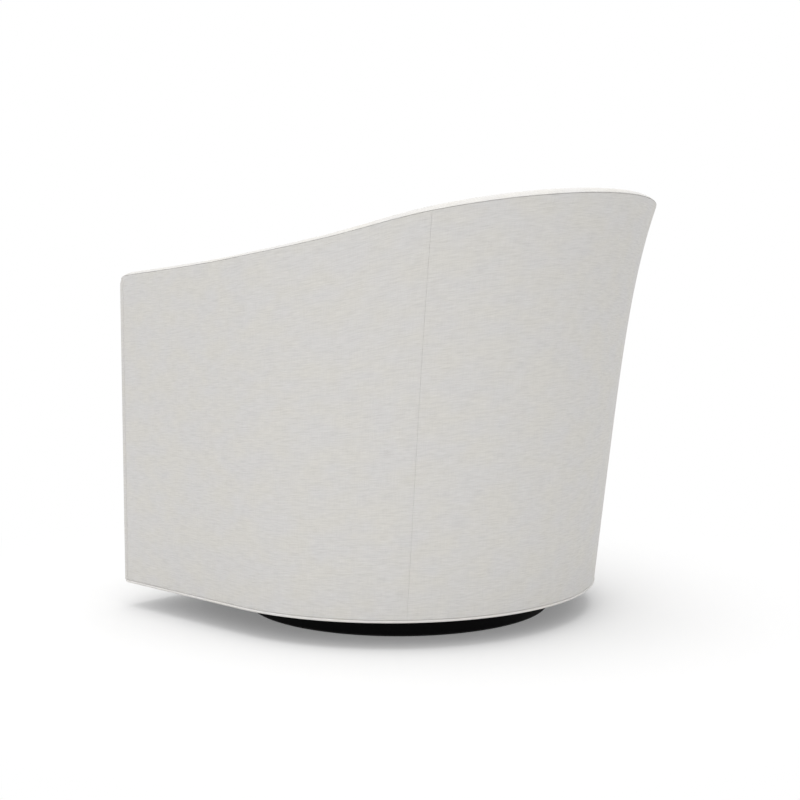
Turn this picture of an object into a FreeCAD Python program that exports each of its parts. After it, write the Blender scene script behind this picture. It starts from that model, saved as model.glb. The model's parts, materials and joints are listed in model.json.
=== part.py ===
import FreeCAD, Part
import math
import os

os.makedirs("parts", exist_ok=True)

# All sizes are in millimetres. The chair faces -Y, +Z is up, and the origin is on the floor,
# on the axis that the seat turns about. "Forward" is -Y, and the sitter's left is +X.

# Outside of the barrel
half_width = 386.0
arm_front = 344.0
back_centre = 19.0
underside = 45.0
back_heights = [749.5, 741.0, 716.5, 675.5, 647.0]
arm_heights = [629.0, 615.0]
flare_height = 600.0
flare_lean = 80.0
flare_curl = 14.5
flare_power = 5.6
flare_sideways = 0.48
seam_turn = 44.0

# Thickness of the padded walls
arm_thickness = 90.0
back_thickness_low = 152.0
back_thickness_high = 100.0
top_crown = 7.0
pad_crown = 7.0
lumbar_crown = 12.0

# Layers of the wall, from the outside in
cover_thickness = 1.6
wadding_thickness = 5.0
frame_depth = 22.0
board_thickness = 4.0
layer_gap = 0.4
seam_gap = 0.3
welt_radius = 2.5
welt_proud = 1.5

# Wooden frame
low_rail_depth = 28.0
low_rail_height = 60.0
front_rail_thickness = 28.0
top_rail_height = 58.0
top_padding_height = 20.0
post_width = 42.0
side_post_width = 60.0
stump_thickness = 22.0
spring_rail_height = 52.0
seat_rail_top = 284.0
seat_rail_depth = 30.0
front_cover_thickness = 4.0
front_padding_thickness = 6.0
mount_board_half = 165.0
mount_board_thickness = 18.0
mount_board_access = 60.0
dust_cover_thickness = 0.8
dust_cover_inset = 6.5

# Springs and deck
spring_count = 7
spring_spacing = 66.0
spring_wire = 3.5
spring_bend = 10.0
spring_half_width = 18.0
clip_thickness = 1.2
clip_width = 20.0
clip_foot = 14.0
pad_thickness = 6.0
deck_thickness = 1.6

# Seat cushion
cushion_height = 138.0
cushion_crown = 24.0
cushion_front_radius = 4000.0
cushion_side_bulge = 4.0
cushion_clearance = 3.0
cushion_corner = 34.0
cushion_edge = 5.0
cushion_crown_reach = 0.85
cushion_crown_power = 2.4
cushion_front_overhang = 4.0
zip_height = 9.0
zip_thickness = 1.0
zip_half_turn = 58.0

# Plinth
plinth_radius = 286.0
plinth_wall = 18.0
plinth_board_thickness = 18.0
plinth_board_access = 60.0
foot_width = 14.0
foot_height = 3.0
block_count = 6
block_length = 60.0
block_width = 30.0

# Swivel bearing
plate_half = 150.0
plate_thickness = 2.5
plate_corner = 12.0
ball_count = 24
ball_radius = 3.0
race_radius = 90.0
race_play = 0.15
groove_depth = 0.65
cage_half_width = 8.0
cage_thickness = 1.6
cage_play = 0.25
hub_radius = 24.0
hub_wall = 4.0
hub_flange = 10.0
hub_flange_thickness = 1.5
hub_play = 0.3
screw_edge = 18.0
screw_radius = 2.0
screw_length = 14.0
bolt_edge = 32.0
bolt_radius = 3.0
head_radius = 6.0
head_height = 2.4
tee_flange_radius = 10.0
tee_flange_thickness = 1.2
tee_wall = 1.2
tee_depth = 10.0
thread_play = 0.1

# Values that follow from the sizes above
up = FreeCAD.Vector(0, 0, 1)
quarter_run = half_width * math.pi / 2
full_run = quarter_run + arm_front - back_centre
seam_run = math.radians(seam_turn) * half_width
frame_outer = cover_thickness + wadding_thickness + 2 * layer_gap
frame_inner = frame_outer + frame_depth
board_outer = frame_inner + layer_gap
board_inner = board_outer + board_thickness
pad_outer = board_inner + layer_gap
frame_bottom = underside + dust_cover_thickness + 0.2
cover_bottom = underside + 2 * welt_radius + seam_gap
stump_front = arm_front - front_cover_thickness - layer_gap
stump_back = stump_front - stump_thickness
rail_front = arm_front - front_cover_thickness - cover_thickness - front_padding_thickness - 2 * layer_gap
rail_back = rail_front - front_rail_thickness
stump_inner_depth = arm_thickness - cover_thickness - 2 * layer_gap
low_rail_top = frame_bottom + low_rail_height
spring_level = seat_rail_top + clip_thickness + spring_wire / 2 + seam_gap / 2
pad_bottom = spring_level + spring_wire / 2 + clip_thickness + layer_gap
deck_bottom = pad_bottom + pad_thickness + layer_gap / 2
deck_level = deck_bottom + deck_thickness
plate_gap = 2 * (ball_radius + race_play - groove_depth)
upper_plate_top = frame_bottom
upper_plate_bottom = upper_plate_top - plate_thickness
lower_plate_top = upper_plate_bottom - plate_gap
plinth_top = lower_plate_top - plate_thickness
board_top = frame_bottom + mount_board_thickness
screw_offset = plate_half - screw_edge
bolt_offset = plate_half - bolt_edge
cushion_bottom = deck_level + layer_gap
cushion_side = half_width - arm_thickness - pad_crown - cushion_clearance - cushion_side_bulge
cushion_front = arm_front + cushion_front_overhang
frame_top_drop = top_padding_height + cover_thickness + layer_gap
rail_bottom_drop = frame_top_drop + top_rail_height


def at(forward, side, level):
    return FreeCAD.Vector(side, -forward, level)


def save(name, shape):
    shape.exportStep("parts/" + name + ".step")


def spread(start, end, count):
    return [start + (end - start) * i / (count - 1) for i in range(count)]


def flare(level):
    """How far the rear of the back leans out at a level."""
    rise = max(0.0, (level - underside) / flare_height)
    return flare_lean * rise + flare_curl * rise ** flare_power


def cushion_round_centre():
    """Centre of the cushion's round back, whose rear lies just ahead of the inner back."""
    rear_depth = half_width + flare(deck_level) - back_thickness_low - cushion_clearance - cushion_side_bulge
    return back_centre - rear_depth + cushion_side


def top_height(run):
    """Height of the top edge; run is the way round the wall from the middle of the back."""
    knots = spread(0, quarter_run, len(back_heights))
    knots += spread(quarter_run, full_run, len(arm_heights) + 1)[1:]
    heights = back_heights + arm_heights
    last = len(knots) - 1
    reach = min(abs(run), full_run)
    low = max(i for i in range(last) if knots[i] <= reach + 1e-9)
    slopes = [0.0]
    for i in range(1, last):
        slopes.append((heights[i + 1] - heights[i - 1]) / (knots[i + 1] - knots[i - 1]))
    slopes.append((heights[last] - heights[last - 1]) / (knots[last] - knots[last - 1]))
    span = knots[low + 1] - knots[low]
    t = (reach - knots[low]) / span
    start = heights[low] * (2 * t ** 3 - 3 * t ** 2 + 1) + slopes[low] * span * (t ** 3 - 2 * t ** 2 + t)
    end = heights[low + 1] * (3 * t ** 2 - 2 * t ** 3) + slopes[low + 1] * span * (t ** 3 - t ** 2)
    return start + end


def wall_point(run, level, depths):
    """A point inside the wall; depths are measured inwards at the arms and at the rear."""
    side_depth, rear_depth = depths
    reach = abs(run)
    hand = 1 if run >= 0 else -1
    if reach >= quarter_run:
        return at(back_centre + reach - quarter_run, hand * (half_width - side_depth), level)
    turn = reach / half_width
    lean = flare(level)
    forward = back_centre - (half_width + lean - rear_depth) * math.cos(turn)
    side = (half_width - side_depth + flare_sideways * lean * math.cos(turn) ** 2) * math.sin(turn)
    return at(forward, hand * side, level)


def even(depth):
    """The same depth all round the wall."""
    def depths(run, level):
        return depth, depth
    return depths


def seat_side(inset):
    """Depth of the inner face, which is thicker at the back and swells between its seams."""
    def depths(run, level):
        rise = (level - deck_level) / (top_height(0) - deck_level)
        share = min(1.0, max(0.0, (level - deck_level) / (top_height(run) - deck_level)))
        swell = math.sin(math.pi * share)
        rear = back_thickness_low + (back_thickness_high - back_thickness_low) * rise
        return arm_thickness + pad_crown * swell - inset, rear + lumbar_crown * swell - inset
    return depths


def below_top(drop):
    """A level that follows the top edge."""
    def level(run):
        return top_height(run) - drop
    return level


def fixed(height):
    """A level that is the same all round."""
    def level(run):
        return height
    return level


def skin(rows):
    surface = Part.BSplineSurface()
    surface.interpolate(rows)
    return surface


def borders(surface):
    u_low, u_high, v_low, v_high = surface.bounds()
    curves = [surface.uIso(u_low), surface.uIso(u_high), surface.vIso(v_low), surface.vIso(v_high)]
    return [curve.toShape() for curve in curves]


def solid_between(near_rows, far_rows):
    """A solid closed by two smooth faces and the four ruled faces that join their edges."""
    near = skin(near_rows)
    far = skin(far_rows)
    faces = [near.toShape(), far.toShape()]
    for near_edge, far_edge in zip(borders(near), borders(far)):
        faces.append(Part.makeRuledSurface(near_edge, far_edge))
    shell = Part.makeShell(faces)
    shell.sewShape()
    solid = Part.makeSolid(shell)
    if solid.Volume < 0:
        solid.reverse()
    return solid


def wall_piece(start, end, low, high, outer, inner):
    """A piece of the wall from run start to end, level low to high, depth outer to inner."""
    run_count = max(4, int(abs(end - start) / 50) + 2)
    faces = []
    for depth in (outer, inner):
        rows = []
        for run in spread(start, end, run_count):
            levels = spread(low(run), high(run), 7)
            rows.append([wall_point(run, level, depth(run, level)) for level in levels])
        faces.append(rows)
    return solid_between(faces[0], faces[1])


def box(front, back, left, right, low, high):
    """A block by its forward reach, its two sides and its levels."""
    corner = FreeCAD.Vector(left, -front, low)
    return Part.makeBox(right - left, front - back, high - low, corner)


def disc(radius, low, high, x=0.0, y=0.0):
    return Part.makeCylinder(radius, high - low, FreeCAD.Vector(x, y, low))


def mirrored(shape):
    return shape.mirror(FreeCAD.Vector(0, 0, 0), FreeCAD.Vector(1, 0, 0))


def ring_places(count, radius):
    turns = [2 * math.pi * i / count for i in range(count)]
    return [(radius * math.cos(turn), radius * math.sin(turn)) for turn in turns]


def corner_places(offset):
    return [(x * offset, y * offset) for x in (-1, 1) for y in (-1, 1)]


# Plinth: a round black base that hides the bearing
def plinth_foot_strip():
    """A rubber strip pressed on under the plinth wall, which is what meets the floor."""
    middle = plinth_radius - plinth_wall / 2
    strip = disc(middle + foot_width / 2, 0, foot_height)
    return strip.cut(disc(middle - foot_width / 2, -1, foot_height + 1))


def plinth_ring():
    outside = disc(plinth_radius, foot_height, plinth_top)
    return outside.cut(disc(plinth_radius - plinth_wall, 0, plinth_top + 1))


def plinth_top_board():
    low = plinth_top - plinth_board_thickness
    board = disc(plinth_radius - plinth_wall, low, plinth_top)
    board = board.cut(disc(plinth_board_access, low - 1, plinth_top + 1))
    for x, y in corner_places(screw_offset):
        board = board.cut(disc(screw_radius + thread_play, plinth_top - screw_length, plinth_top + 1, x, y))
    return board


def plinth_glue_blocks():
    high = plinth_top - plinth_board_thickness
    inside = disc(plinth_radius - plinth_wall, foot_height, high)
    blocks = []
    for i in range(block_count):
        reach = plinth_radius - plinth_wall
        block = Part.makeBox(block_width + plinth_wall, block_length, high - foot_height,
                             FreeCAD.Vector(reach - block_width, -block_length / 2, foot_height))
        block.rotate(FreeCAD.Vector(0, 0, 0), up, 360.0 * i / block_count)
        blocks.append(block.common(inside))
    return Part.makeCompound(blocks)


# Swivel bearing: two pressed plates with a caged ring of balls between them
def bearing_plate(low, hole_radius, hole_offset, bolt_hole):
    size = 2 * plate_half
    plate = Part.makeBox(size, size, plate_thickness, FreeCAD.Vector(-plate_half, -plate_half, low))
    upright = [edge for edge in plate.Edges if abs(edge.tangentAt(edge.FirstParameter).z) > 0.9]
    plate = plate.makeFillet(plate_corner, upright)
    plate = plate.cut(disc(hole_radius, low - 1, low + plate_thickness + 1))
    for x, y in corner_places(hole_offset):
        plate = plate.cut(disc(bolt_hole, low - 1, low + plate_thickness + 1, x, y))
    middle = (lower_plate_top + upper_plate_bottom) / 2
    groove = Part.makeTorus(race_radius, ball_radius + race_play, FreeCAD.Vector(0, 0, middle))
    return plate.cut(groove)


def lower_swivel_plate():
    return bearing_plate(plinth_top, hub_radius, screw_offset, screw_radius + thread_play)


def upper_swivel_plate():
    return bearing_plate(upper_plate_bottom, hub_radius + hub_play, bolt_offset, bolt_radius + thread_play)


def swivel_hub():
    low = plinth_top - hub_flange_thickness
    flange_bottom = upper_plate_top + hub_play
    hub = disc(hub_radius, low, flange_bottom + hub_flange_thickness)
    hub = hub.fuse(disc(hub_radius + hub_flange, low, plinth_top))
    hub = hub.fuse(disc(hub_radius + hub_flange, flange_bottom, flange_bottom + hub_flange_thickness))
    return hub.cut(disc(hub_radius - hub_wall, low - 1, flange_bottom + 10)).removeSplitter()


def lower_plate_screws():
    screws = []
    for x, y in corner_places(screw_offset):
        shank = disc(screw_radius, plinth_top - screw_length, lower_plate_top, x, y)
        head = disc(head_radius, lower_plate_top, lower_plate_top + head_height, x, y)
        screws.append(shank.fuse(head))
    return Part.makeCompound(screws)


def ball_cage():
    middle = (lower_plate_top + upper_plate_bottom) / 2
    low = middle - cage_thickness / 2
    high = middle + cage_thickness / 2
    cage = disc(race_radius + cage_half_width, low, high)
    cage = cage.cut(disc(race_radius - cage_half_width, low - 1, high + 1))
    for x, y in ring_places(ball_count, race_radius):
        cage = cage.cut(disc(ball_radius + cage_play, low - 1, high + 1, x, y))
    return cage


def bearing_balls():
    middle = (lower_plate_top + upper_plate_bottom) / 2
    places = ring_places(ball_count, race_radius)
    return Part.makeCompound([Part.makeSphere(ball_radius, FreeCAD.Vector(x, y, middle)) for x, y in places])


def upper_plate_bolts():
    bolts = []
    for x, y in corner_places(bolt_offset):
        shank = disc(bolt_radius, upper_plate_bottom, board_top, x, y)
        head = disc(head_radius, upper_plate_bottom - head_height, upper_plate_bottom, x, y)
        bolts.append(shank.fuse(head))
    return Part.makeCompound(bolts)


def tee_nuts():
    nuts = []
    for x, y in corner_places(bolt_offset):
        barrel = disc(bolt_radius + thread_play + tee_wall, board_top - tee_depth, board_top, x, y)
        flange = disc(tee_flange_radius, board_top, board_top + tee_flange_thickness, x, y)
        bore = disc(bolt_radius + thread_play, board_top - tee_depth - 1, board_top + 5, x, y)
        nuts.append(barrel.fuse(flange).cut(bore))
    return Part.makeCompound(nuts)


# Wooden frame of the turning body
def swivel_mount_board():
    plan = plan_face(frame_outer + low_rail_depth + layer_gap, frame_bottom, mount_board_half)
    board = plan.extrude(up * mount_board_thickness)
    board = board.common(box(arm_front, -mount_board_half, -half_width, half_width, frame_bottom, board_top))
    board = board.cut(disc(mount_board_access, frame_bottom - 1, board_top + 1))
    for x, y in corner_places(bolt_offset):
        board = board.cut(disc(bolt_radius + thread_play, frame_bottom - 1, board_top + 1, x, y))
        barrel = bolt_radius + 2 * thread_play + tee_wall
        board = board.cut(disc(barrel, board_top - tee_depth, board_top + 1, x, y))
    return board


def front_rail(low, high):
    side = half_width - stump_inner_depth
    return box(rail_front, rail_back, -side, side, low, high)


def low_side_rail():
    outer = half_width - frame_outer
    return box(stump_back, back_centre, outer - low_rail_depth, outer, frame_bottom, low_rail_top)


def lower_back_rail():
    return wall_piece(-quarter_run, quarter_run, fixed(frame_bottom), fixed(low_rail_top),
                      even(frame_outer), even(frame_outer + low_rail_depth))


def arm_stump():
    """The wide board that stands at the front of an arm, with a sloping top."""
    high_back = top_height(full_run - arm_front + stump_back) - frame_top_drop
    high_front = top_height(full_run - arm_front + stump_front) - frame_top_drop
    outline = [at(stump_front, 0, frame_bottom), at(stump_front, 0, high_front),
               at(stump_back, 0, high_back), at(stump_back, 0, frame_bottom)]
    face = Part.Face(Part.makePolygon(outline + outline[:1]))
    stump = face.extrude(FreeCAD.Vector(stump_inner_depth - frame_outer, 0, 0))
    stump.translate(FreeCAD.Vector(half_width - stump_inner_depth, 0, 0))
    return stump


def post(middle, width):
    high = below_top(rail_bottom_drop + seam_gap)
    return wall_piece(middle - width / 2, middle + width / 2, fixed(low_rail_top), high,
                      even(frame_outer), even(frame_inner))


def arm_top_rail():
    end = full_run - (arm_front - stump_back)
    return wall_piece(quarter_run, end, below_top(rail_bottom_drop), below_top(frame_top_drop),
                      even(frame_outer), even(frame_inner))


def back_top_rail():
    return wall_piece(-quarter_run, quarter_run, below_top(rail_bottom_drop), below_top(frame_top_drop),
                      even(frame_outer), even(frame_inner))


def seat_side_rail():
    outer = half_width - board_outer
    return box(stump_back, back_centre, outer - seat_rail_depth, outer,
               seat_rail_top - spring_rail_height, seat_rail_top)


def seat_back_rail():
    low = fixed(seat_rail_top - spring_rail_height)
    return wall_piece(-quarter_run, quarter_run, low, fixed(seat_rail_top),
                      even(board_outer), even(board_outer + seat_rail_depth))


# Springs and deck
def spring_places():
    first = -spring_spacing * (spring_count - 1) / 2
    return [first + spring_spacing * i for i in range(spring_count)]


def spring_back_end(side):
    """Forward reach of the clip on the curved seat rail at a distance from the middle plane."""
    depth = (pad_outer + board_outer + seat_rail_depth) / 2
    lean = flare(seat_rail_top)
    turn = 0.0
    for i in range(12):
        turn = math.asin(side / (half_width - depth + flare_sideways * lean * math.cos(turn) ** 2))
    return back_centre - (half_width + lean - depth) * math.cos(turn)


def spring_ends(side):
    return (rail_front + rail_back) / 2, spring_back_end(side)


def sinuous_spring(side):
    """A wire that runs from side to side and advances by one bend at each turn."""
    front, back = spring_ends(side)
    turns = int((front - back) / (2 * spring_bend))
    step = (front - back) / turns
    radius = step / 2
    reach = spring_half_width - radius
    edges = []
    hand = 1
    forward = front
    here = at(forward, side - hand * reach, spring_level)
    for i in range(turns):
        there = at(forward, side + hand * reach, spring_level)
        edges.append(Part.LineSegment(here, there).toShape())
        middle = at(forward - radius, side + hand * (reach + radius), spring_level)
        far = at(forward - step, side + hand * reach, spring_level)
        edges.append(Part.Arc(there, middle, far).toShape())
        here = far
        forward -= step
        hand = -hand
    edges.append(Part.LineSegment(here, at(forward, side + hand * reach, spring_level)).toShape())
    path = Part.Wire(edges)
    start = edges[0].valueAt(edges[0].FirstParameter)
    circle = Part.Wire(Part.makeCircle(spring_wire / 2, start, FreeCAD.Vector(1, 0, 0)))
    return path.makePipeShell([circle], True, False)


def sinuous_springs():
    return Part.makeCompound([sinuous_spring(side) for side in spring_places()])


def spring_clip(side, forward):
    """A strap folded over the end run of a spring and nailed down on the rail."""
    bottom = seat_rail_top
    inner = spring_wire / 2 + seam_gap / 2
    top = spring_level + inner
    foot = Part.makeBox(clip_width, clip_foot, clip_thickness,
                        FreeCAD.Vector(side - clip_width / 2, -forward - clip_foot / 2, bottom))
    wall_face = inner + seam_gap
    wall = Part.makeBox(clip_width, clip_thickness, top + clip_thickness - bottom,
                        FreeCAD.Vector(side - clip_width / 2, -forward - wall_face - clip_thickness, bottom))
    lip = Part.makeBox(clip_width, inner + wall_face + clip_thickness, clip_thickness,
                       FreeCAD.Vector(side - clip_width / 2, -forward - wall_face - clip_thickness, top))
    return foot.fuse([wall, lip]).removeSplitter()


def spring_clips():
    clips = []
    for side in spring_places():
        for forward in spring_ends(side):
            clips.append(spring_clip(side, forward))
    return Part.makeCompound(clips)


def plan_face(depth, level, front):
    """A flat face of the barrel's plan at a level, closed by a straight front."""
    turns = spread(-quarter_run, quarter_run, 33)
    curve = Part.BSplineCurve()
    curve.interpolate([wall_point(run, level, (depth, depth)) for run in turns])
    side = half_width - depth
    left = at(back_centre, -side, level)
    right = at(back_centre, side, level)
    front_left = at(front, -side, level)
    front_right = at(front, side, level)
    edges = [curve.toShape()]
    edges.append(Part.LineSegment(right, front_right).toShape())
    edges.append(Part.LineSegment(front_right, front_left).toShape())
    edges.append(Part.LineSegment(front_left, left).toShape())
    return Part.Face(Part.Wire(edges))


def deck_sheet(low, thickness):
    sheet = plan_face(pad_outer, low, stump_back - layer_gap)
    return sheet.extrude(up * thickness)


def spring_insulator_pad():
    return deck_sheet(pad_bottom, pad_thickness)


def seat_deck_cloth():
    return deck_sheet(deck_bottom, deck_thickness)


def inside_backing_board():
    end = full_run - (arm_front - stump_back) - layer_gap
    return wall_piece(-end, end, fixed(seat_rail_top + seam_gap), below_top(frame_top_drop),
                      even(board_outer), even(board_inner))


def dust_cover():
    sheet = plan_face(dust_cover_inset, underside, arm_front - dust_cover_inset)
    sheet = sheet.extrude(up * dust_cover_thickness)
    opening = 2 * (plate_half + layer_gap)
    hole = Part.makeBox(opening, opening, 2, FreeCAD.Vector(-opening / 2, -opening / 2, underside - 1))
    return sheet.cut(hole)


# Outside padding and covers
def outside_wadding():
    end = full_run - (arm_front - stump_front)
    return wall_piece(-end, end, fixed(cover_bottom), below_top(frame_top_drop),
                      even(cover_thickness + layer_gap), even(frame_outer - layer_gap))


def outside_cover(start, end):
    return wall_piece(start, end, fixed(cover_bottom), below_top(cover_thickness + seam_gap),
                      even(0), even(cover_thickness))


def outside_arm_cover():
    return outside_cover(seam_run + seam_gap / 2, full_run - (arm_front - stump_front))


def outside_back_cover():
    return outside_cover(-seam_run + seam_gap / 2, seam_run - seam_gap / 2)


# Inside padding and covers
def inside_foam(start, end):
    return wall_piece(start, end, fixed(deck_level + layer_gap), below_top(frame_top_drop),
                      even(pad_outer), seat_side(cover_thickness + layer_gap))


def inside_arm_foam():
    return inside_foam(seam_run + seam_gap / 2, full_run - (arm_front - stump_back) - layer_gap)


def inside_back_foam():
    return inside_foam(-seam_run + seam_gap / 2, seam_run - seam_gap / 2)


def inside_cover(start, end):
    return wall_piece(start, end, fixed(deck_level + layer_gap), below_top(cover_thickness + seam_gap),
                      seat_side(cover_thickness), seat_side(0))


def inside_arm_cover():
    return inside_cover(seam_run + seam_gap / 2, full_run - (arm_front - stump_front))


def inside_back_cover():
    return inside_cover(-seam_run + seam_gap / 2, seam_run - seam_gap / 2)


# Top edge: a crowned strip over a padded roll
def across_wall(run, inset, level):
    """Points across the wall at a run, from outside to inside, at the level of each share."""
    points = []
    for share in spread(0, 1, 7):
        height = level(run, share)
        side_depth, rear_depth = seat_side(0)(run, min(height, top_height(run)))
        depths = (inset + (side_depth - 2 * inset) * share, inset + (rear_depth - 2 * inset) * share)
        points.append(wall_point(run, height, depths))
    return points


def crowned_level(drop):
    """The level of the crowned top, lowered by a drop."""
    def level(run, share):
        return top_height(run) + top_crown * (1 - (2 * share - 1) ** 2) - drop
    return level


def top_layer(end, inset, high, low):
    runs = spread(-end, end, 41)
    near = [across_wall(run, inset, high) for run in runs]
    far = [across_wall(run, inset, low) for run in runs]
    return solid_between(near, far)


def top_boxing():
    return top_layer(full_run, 0, crowned_level(0), crowned_level(cover_thickness))


def top_edge_padding():
    def low(run, share):
        return top_height(run) - frame_top_drop + layer_gap
    end = full_run - (arm_front - stump_front) - layer_gap
    drop = cover_thickness + layer_gap
    return top_layer(end, drop, crowned_level(drop), low)


# Fronts of the arms and the front rail
def arm_front_cover():
    high = top_height(full_run) - cover_thickness - seam_gap
    back = arm_front - front_cover_thickness
    cover = box(arm_front, back, half_width - arm_thickness, half_width, cover_bottom, high)
    upright = [edge for edge in cover.Edges if abs(edge.tangentAt(edge.FirstParameter).z) > 0.9]
    front = [edge for edge in upright if abs(edge.CenterOfMass.y + arm_front) < 0.1]
    return cover.makeFillet(front_cover_thickness * 0.7, front)


def front_panel(front, back, low, high):
    side = half_width - arm_thickness - layer_gap
    return box(front, back, -side, side, low, high)


def front_rail_cover():
    front = arm_front - front_cover_thickness
    return front_panel(front, front - cover_thickness, cover_bottom, deck_level)


def front_rail_padding():
    front = arm_front - front_cover_thickness - cover_thickness - layer_gap
    return front_panel(front, front - front_padding_thickness, cover_bottom, deck_level - layer_gap)


# Plans with a round back, used by the bottom welt and the seat cushion
def half_outline(hand, centre, radius, corner_forward, corner, front_turn, level):
    """A quarter of a round back, a straight side and the rounded front corner of one half."""
    slant = math.cos(math.pi / 4)
    rear = at(centre - radius, 0, level)
    bend = at(centre - radius * slant, hand * radius * slant, level)
    side_back = at(centre, hand * radius, level)
    side_front = at(corner_forward, hand * radius, level)
    corner_points = []
    for turn in (math.pi / 4 + front_turn / 2, front_turn):
        forward = corner_forward + corner * math.cos(turn)
        corner_points.append(at(forward, hand * (radius - corner + corner * math.sin(turn)), level))
    return [Part.Arc(rear, bend, side_back), Part.LineSegment(side_back, side_front),
            Part.Arc(side_front, corner_points[0], corner_points[1])]


def closed_outline(left_half, front_edge, right_half):
    curves = left_half + [front_edge] + right_half[::-1]
    return Part.Wire([curve.toShape() for curve in curves])


def piping(path, rear, level):
    """A round cord that follows a closed outline from the middle of its back."""
    circle = Part.Wire(Part.makeCircle(welt_radius, at(rear, 0, level), FreeCAD.Vector(1, 0, 0)))
    return path.makePipeShell([circle], True, False)


def bottom_welt():
    level = underside + welt_radius
    depth = welt_radius - welt_proud
    radius = half_width - depth
    corner = 4 * welt_radius
    corner_forward = arm_front - depth - corner
    halves = [half_outline(hand, back_centre, radius, corner_forward, corner, 0.0, level) for hand in (1, -1)]
    front_edge = Part.LineSegment(halves[0][2].EndPoint, halves[1][2].EndPoint)
    return piping(closed_outline(halves[0], front_edge, halves[1]), back_centre - radius, level)


# Seat cushion
def cushion_outline(level, inset):
    """The cushion's plan at a level: a bowed front, straight sides and a round back."""
    radius = cushion_side - inset
    corner = cushion_corner
    bow_radius = cushion_front_radius - inset - corner
    bow_centre = cushion_front - cushion_front_radius
    corner_forward = bow_centre + math.sqrt(bow_radius ** 2 - (radius - corner) ** 2)
    front_turn = math.asin((radius - corner) / bow_radius)
    halves = []
    for hand in (1, -1):
        half = half_outline(hand, cushion_round_centre(), radius, corner_forward, corner, front_turn, level)
        halves.append(half)
    bow = at(cushion_front - inset, 0, level)
    front_edge = Part.Arc(halves[0][2].EndPoint, bow, halves[1][2].EndPoint)
    return closed_outline(halves[0], front_edge, halves[1])


def cushion_solid(shrink):
    """The boxed cushion: its sides swell, draw in at the seams, and its top is crowned."""
    top_seam = cushion_bottom + cushion_height - shrink
    bottom = cushion_bottom + shrink
    levels = [(bottom, shrink + cushion_edge), (bottom + cushion_edge, shrink)]
    for share in spread(0, 1, 9)[1:]:
        bulge = cushion_side_bulge * math.sin(math.pi * share)
        levels.append((bottom + cushion_edge + (top_seam - bottom - cushion_edge) * share, shrink - bulge))
    for share in spread(0, cushion_crown_reach, 9)[1:]:
        rise = cushion_crown * (1 - (1 - share) ** cushion_crown_power)
        levels.append((top_seam + rise, shrink + share * cushion_side))
    wires = [cushion_outline(level, inset) for level, inset in levels]
    return Part.makeLoft(wires, True, True)


def seat_cushion_cover():
    return cushion_solid(0).cut(cushion_solid(cover_thickness))


def seat_cushion_core():
    return cushion_solid(cover_thickness + layer_gap)


def cushion_welt(level):
    reach = welt_radius + seam_gap
    rear = cushion_round_centre() - cushion_side - reach
    return piping(cushion_outline(level, -reach), rear, level)


def seat_cushion_zipper():
    """The zip in the back boxing, seen as a narrow band that follows the round back."""
    middle = cushion_bottom + cushion_height / 2
    low = middle - zip_height / 2
    inner = cushion_side + cushion_side_bulge + seam_gap
    centre = -cushion_round_centre()
    band = disc(inner + zip_thickness, low, low + zip_height, 0, centre)
    band = band.cut(disc(inner, low - 1, low + zip_height + 1, 0, centre))
    reach = 2 * inner
    turn = math.radians(zip_half_turn)
    corners = [(0, 0), (-reach * math.sin(turn), reach * math.cos(turn)),
               (0, 2 * reach), (reach * math.sin(turn), reach * math.cos(turn)), (0, 0)]
    wedge = Part.Face(Part.makePolygon([FreeCAD.Vector(x, centre + y, low) for x, y in corners]))
    return band.common(wedge.extrude(up * zip_height))


def build():
    save("plinth_foot_strip", plinth_foot_strip())
    save("plinth_ring", plinth_ring())
    save("plinth_top_board", plinth_top_board())
    save("plinth_glue_blocks", plinth_glue_blocks())
    save("lower_swivel_plate", lower_swivel_plate())
    save("swivel_hub", swivel_hub())
    save("lower_plate_screws", lower_plate_screws())
    save("ball_cage", ball_cage())
    save("bearing_balls", bearing_balls())
    save("upper_swivel_plate", upper_swivel_plate())
    save("upper_plate_bolts", upper_plate_bolts())
    save("tee_nuts", tee_nuts())
    save("swivel_mount_board", swivel_mount_board())
    save("lower_front_rail", front_rail(frame_bottom, low_rail_top))
    save("lower_back_rail", lower_back_rail())
    save("seat_front_rail", front_rail(seat_rail_top - spring_rail_height, seat_rail_top))
    save("seat_back_rail", seat_back_rail())
    save("back_top_rail", back_top_rail())
    save("back_stile", post(0.0, post_width))
    pairs = {
        "lower_side_rail": low_side_rail(),
        "arm_stump": arm_stump(),
        "side_post": post(quarter_run, side_post_width),
        "back_post": post(seam_run, post_width),
        "arm_top_rail": arm_top_rail(),
        "seat_side_rail": seat_side_rail(),
        "outside_arm_cover": outside_arm_cover(),
        "inside_arm_foam": inside_arm_foam(),
        "inside_arm_cover": inside_arm_cover(),
        "arm_front_cover": arm_front_cover(),
    }
    for name, shape in pairs.items():
        save(name + "_left", shape)
        save(name + "_right", mirrored(shape))
    save("sinuous_springs", sinuous_springs())
    save("spring_clips", spring_clips())
    save("spring_insulator_pad", spring_insulator_pad())
    save("seat_deck_cloth", seat_deck_cloth())
    save("inside_backing_board", inside_backing_board())
    save("outside_wadding", outside_wadding())
    save("outside_back_cover", outside_back_cover())
    save("inside_back_foam", inside_back_foam())
    save("inside_back_cover", inside_back_cover())
    save("top_edge_padding", top_edge_padding())
    save("top_boxing", top_boxing())
    save("front_rail_padding", front_rail_padding())
    save("front_rail_cover", front_rail_cover())
    save("bottom_welt", bottom_welt())
    save("dust_cover", dust_cover())
    save("seat_cushion_core", seat_cushion_core())
    save("seat_cushion_cover", seat_cushion_cover())
    save("seat_cushion_welt_top", cushion_welt(cushion_bottom + cushion_height))
    save("seat_cushion_welt_bottom", cushion_welt(cushion_bottom + 2 * welt_radius))
    save("seat_cushion_zipper", seat_cushion_zipper())


build()
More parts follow.
